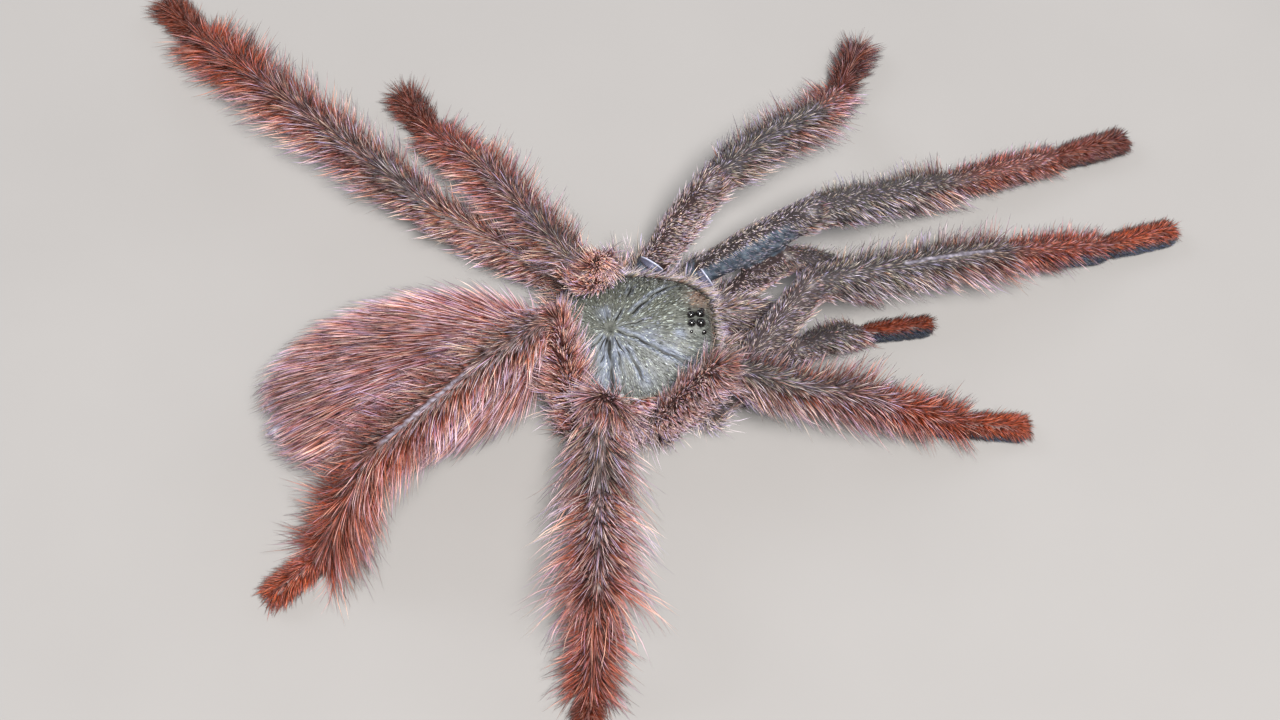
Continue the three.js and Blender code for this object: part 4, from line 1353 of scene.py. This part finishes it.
def build_coat(skin):
    """A piece of coat for each leg, the palps, the mouth and the abdomen's two halves."""
    hair = coat_material()
    batches = [coat_batch(skin, layer) for layer in LAYERS]
    pieces = {f"coat_{limb['name']}": ("leg_coat", [number]) for number, limb in enumerate(legs)}
    pieces["coat_palps"] = ("leg_coat", list(range(len(legs), LIMB_COUNT)))
    pieces["coat_mouth"] = ("mouth_coat", [*CHELICERAE, TRUNK])
    pieces["coat_abdomen_left"] = ("body_coat", [ABDOMEN, SPINNERETS[1]])
    pieces["coat_abdomen_right"] = ("body_coat", [ABDOMEN_RIGHT, SPINNERETS[0]])
    for name, (slot_name, numbers) in pieces.items():
        coat_piece(name, hair, [part for batch in batches for part in part_of(batch, numbers)])
    return hair


def blotches(x, y):
    """An uneven tone for the pile, in patches a third of a millimetre across."""
    wave = np.sin(17 * x + 6 * y + 2 * np.sin(5 * y)) * np.sin(13 * y - 5 * x + 2 * np.sin(4 * x))
    return wave + 0.6 * np.sin(31 * x - 11 * y) * np.sin(27 * y + 9 * x)


PILE_MAP_SPAN = 20               # how much of the carapace the bake map shows, in mm


def carapace_batch(shell, layer, keep_rule, sweep):
    """Hairs that radiate from the fovea, where keep_rule(x, y, share) lets them grow, and
    lean forward along the edge by the share called sweep."""
    points, normals = scatter(shell.data, layer["density"], sort_faces=True)
    x, y = (points - HOME)[:, 0], (points - HOME)[:, 1]
    share, _ = carapace_share(x, y)
    keep = (normals[:, 2] > -0.2) & keep_rule(x, y, share)
    points, normals, x, y = points[keep], normals[keep], x[keep], y[keep]
    count = len(points)
    ways = unit(np.stack([x - FOVEA_X, y, np.zeros(count)], axis=1)) + [sweep, 0, 0]
    normals = unit(normals + [0, 0, layer["upright"]])
    near_eyes = np.exp(-((x - TUBERCLE[0]) ** 2 + (y - TUBERCLE[1]) ** 2) / 1.6 ** 2)
    length = between(layer["length"], count) * (1 - 0.7 * near_eyes)
    width = between(layer["width"], count)
    lift = np.radians(between(layer["lift"], count))
    corners, along = grow_hairs(points, normals, ways, length, width, lift, PILE_CURL,
                                layer["joints"], layer["untidy"])
    marks = np.zeros((count, 3))
    marks[:, 0] = np.clip(smooth_step(-6.0, 1.0, y + x * 0.8) + rng.normal(0, 0.2, count), 0, 1)
    marks[:, 1] = cheek(x, y) > rng.random(count) if layer is PILE else 0
    tone = np.clip(0.49 + 0.18 * blotches(x, y) + rng.normal(0, 0.42, count), 0.02, 0.98)
    # Silver hairs where the carapace is silvered, partly painted sheen.
    silver = rng.random(count) < silver_and_painted_sheen(x, y)
    place = 0.5 + np.stack([x, y], axis=1) / PILE_MAP_SPAN
    return {"corners": corners, "along": along, "joints": layer["joints"], "tone": tone,
            "marks": marks, "pale": silver * between((0.6, 1.0), count), "map": place}


def cheek(x, y):
    """The brown cheek in front of the eyes, on the left."""
    return 1.2 * np.exp(-((x - 6.7) / 1.1) ** 2 - ((y - 3.1) / 1.3) ** 2)


def on_plate(x, y, share):
    """Where the pile grows: on the plate, but not in its grooves or on an eye."""
    groove, _, _ = carapace_details(x, y)
    clear = np.ones(len(x), dtype=bool)
    for place, radius in eye_places.values():
        clear &= np.hypot(x - place[0], y - place[1]) > radius + 0.05
    return (share < 1.0) & (groove < 0.08) & clear


def on_rim(x, y, share):
    """Where the fringe grows: round the edge, broader behind, and thin beside the hinge
    plates."""
    keep = (share > 0.93 - 0.05 * smooth_step(-2.0, -6.5, x)) & (share < 1.0)
    for limb in plated_legs:
        plate = hinge_place(limb) - HOME
        keep &= (np.hypot(x - plate[0], y - plate[1]) > 1.9) | (rng.random(len(x)) > 0.6)
    return keep


# The hairs of the carapace, with the coat's measures: upright is how far they turn up
# from the plate, and untidy how far they stray from the rays.
PILE = {"density": 34, "length": (0.3, 0.7), "width": (0.09, 0.13), "lift": (8, 34), "joints": 1,
        "upright": 0.0, "untidy": 0.25}
FRINGE = {"density": 34, "length": (1.0, 2.6), "width": (0.07, 0.1), "lift": (0, 38), "joints": 2,
          "upright": 1.5, "untidy": 0.3}
PILE_CURL = 0.4
FRINGE_SWEEP = 1.3


def build_carapace_coat(shell, hair):
    """The flat pile on the plate and the pale fringe round its edge."""
    coat_piece("pile_carapace", pile_material(), [carapace_batch(shell, PILE, on_plate, 0.0)])
    fringe = carapace_batch(shell, FRINGE, on_rim, FRINGE_SWEEP)
    count = len(fringe["tone"])
    fringe["pale"], fringe["tone"] = between((0.7, 1.0), count), between((0.4, 1.0), count)
    coat_piece("fringe_carapace", hair, [fringe])


# ---------------------------------------------------------- floor, light, camera


def build_floor():
    start_clean()
    bpy.ops.mesh.primitive_plane_add(size=4, location=(0, 0, 0))
    floor = bpy.context.object
    floor.name = "studio_floor"
    floor.data.materials.append(floor_material())


def add_area_light(name, azimuth, elevation, distance, size, energy, colour):
    """A round soft light that faces the middle of the floor, with its sizes in metres."""
    data = bpy.data.lights.new(name, "AREA")
    data.shape = "DISK"
    data.size, data.energy, data.color = size, energy, linear(colour)[:3]
    light = bpy.data.objects.new(name, data)
    way = Vector(direction(azimuth, elevation))
    light.location = way * distance
    light.rotation_euler = way.to_track_quat("Z", "Y").to_euler()
    bpy.context.scene.collection.objects.link(light)


def build_lights():
    add_area_light("key", -84, 66, 0.9, 0.2, 17.0, "#fffcfa")
    add_area_light("fill", 30, 35, 1.0, 0.8, 2.0, "#eef3ff")
    add_area_light("rim", 150, 40, 1.0, 0.5, 2.2, "#f4f6ff")
    world = bpy.data.worlds.new("studio")
    world.use_nodes = True
    backdrop = world.node_tree.nodes["Background"]
    backdrop.inputs["Color"].default_value = linear("#e9ecf0")
    backdrop.inputs["Strength"].default_value = 0.25
    bpy.context.scene.world = world
    bpy.context.scene.view_settings.view_transform = "Standard"


# The camera looks from the animal's right side, turned a little towards its rear, with
# angles in degrees and the distance and the target in mm.
CAMERA_AZIMUTH = -4.5
CAMERA_ELEVATION = 64
CAMERA_DISTANCE = 320
CAMERA_TARGET = (0.6, 0.7, 0.0)
CAMERA_LENS = 88.6
SENSOR_WIDTH = 36


def build_camera():
    data = bpy.data.cameras.new("camera")
    data.lens, data.sensor_width = CAMERA_LENS, SENSOR_WIDTH
    data.clip_start, data.clip_end = 0.01, 10
    camera = bpy.data.objects.new("camera", data)
    back = direction(CAMERA_AZIMUTH - 90, CAMERA_ELEVATION)
    place = np.array(CAMERA_TARGET) + HOME + back * CAMERA_DISTANCE
    camera.location = Vector(place * MM)
    camera.rotation_euler = Vector(back).to_track_quat("Z", "Y").to_euler()
    bpy.context.scene.collection.objects.link(camera)
    bpy.context.scene.camera = camera


# ------------------------------------------------------------------ all together

build_camera()
build_floor()
build_lights()
skin = finish_skin(build_skin())
shell = build_carapace()
build_eyes()
horn = horn_material()
build_fangs(horn)
build_claws(horn)
build_hip_plates()
hair = build_coat(skin)
build_carapace_coat(shell, hair)
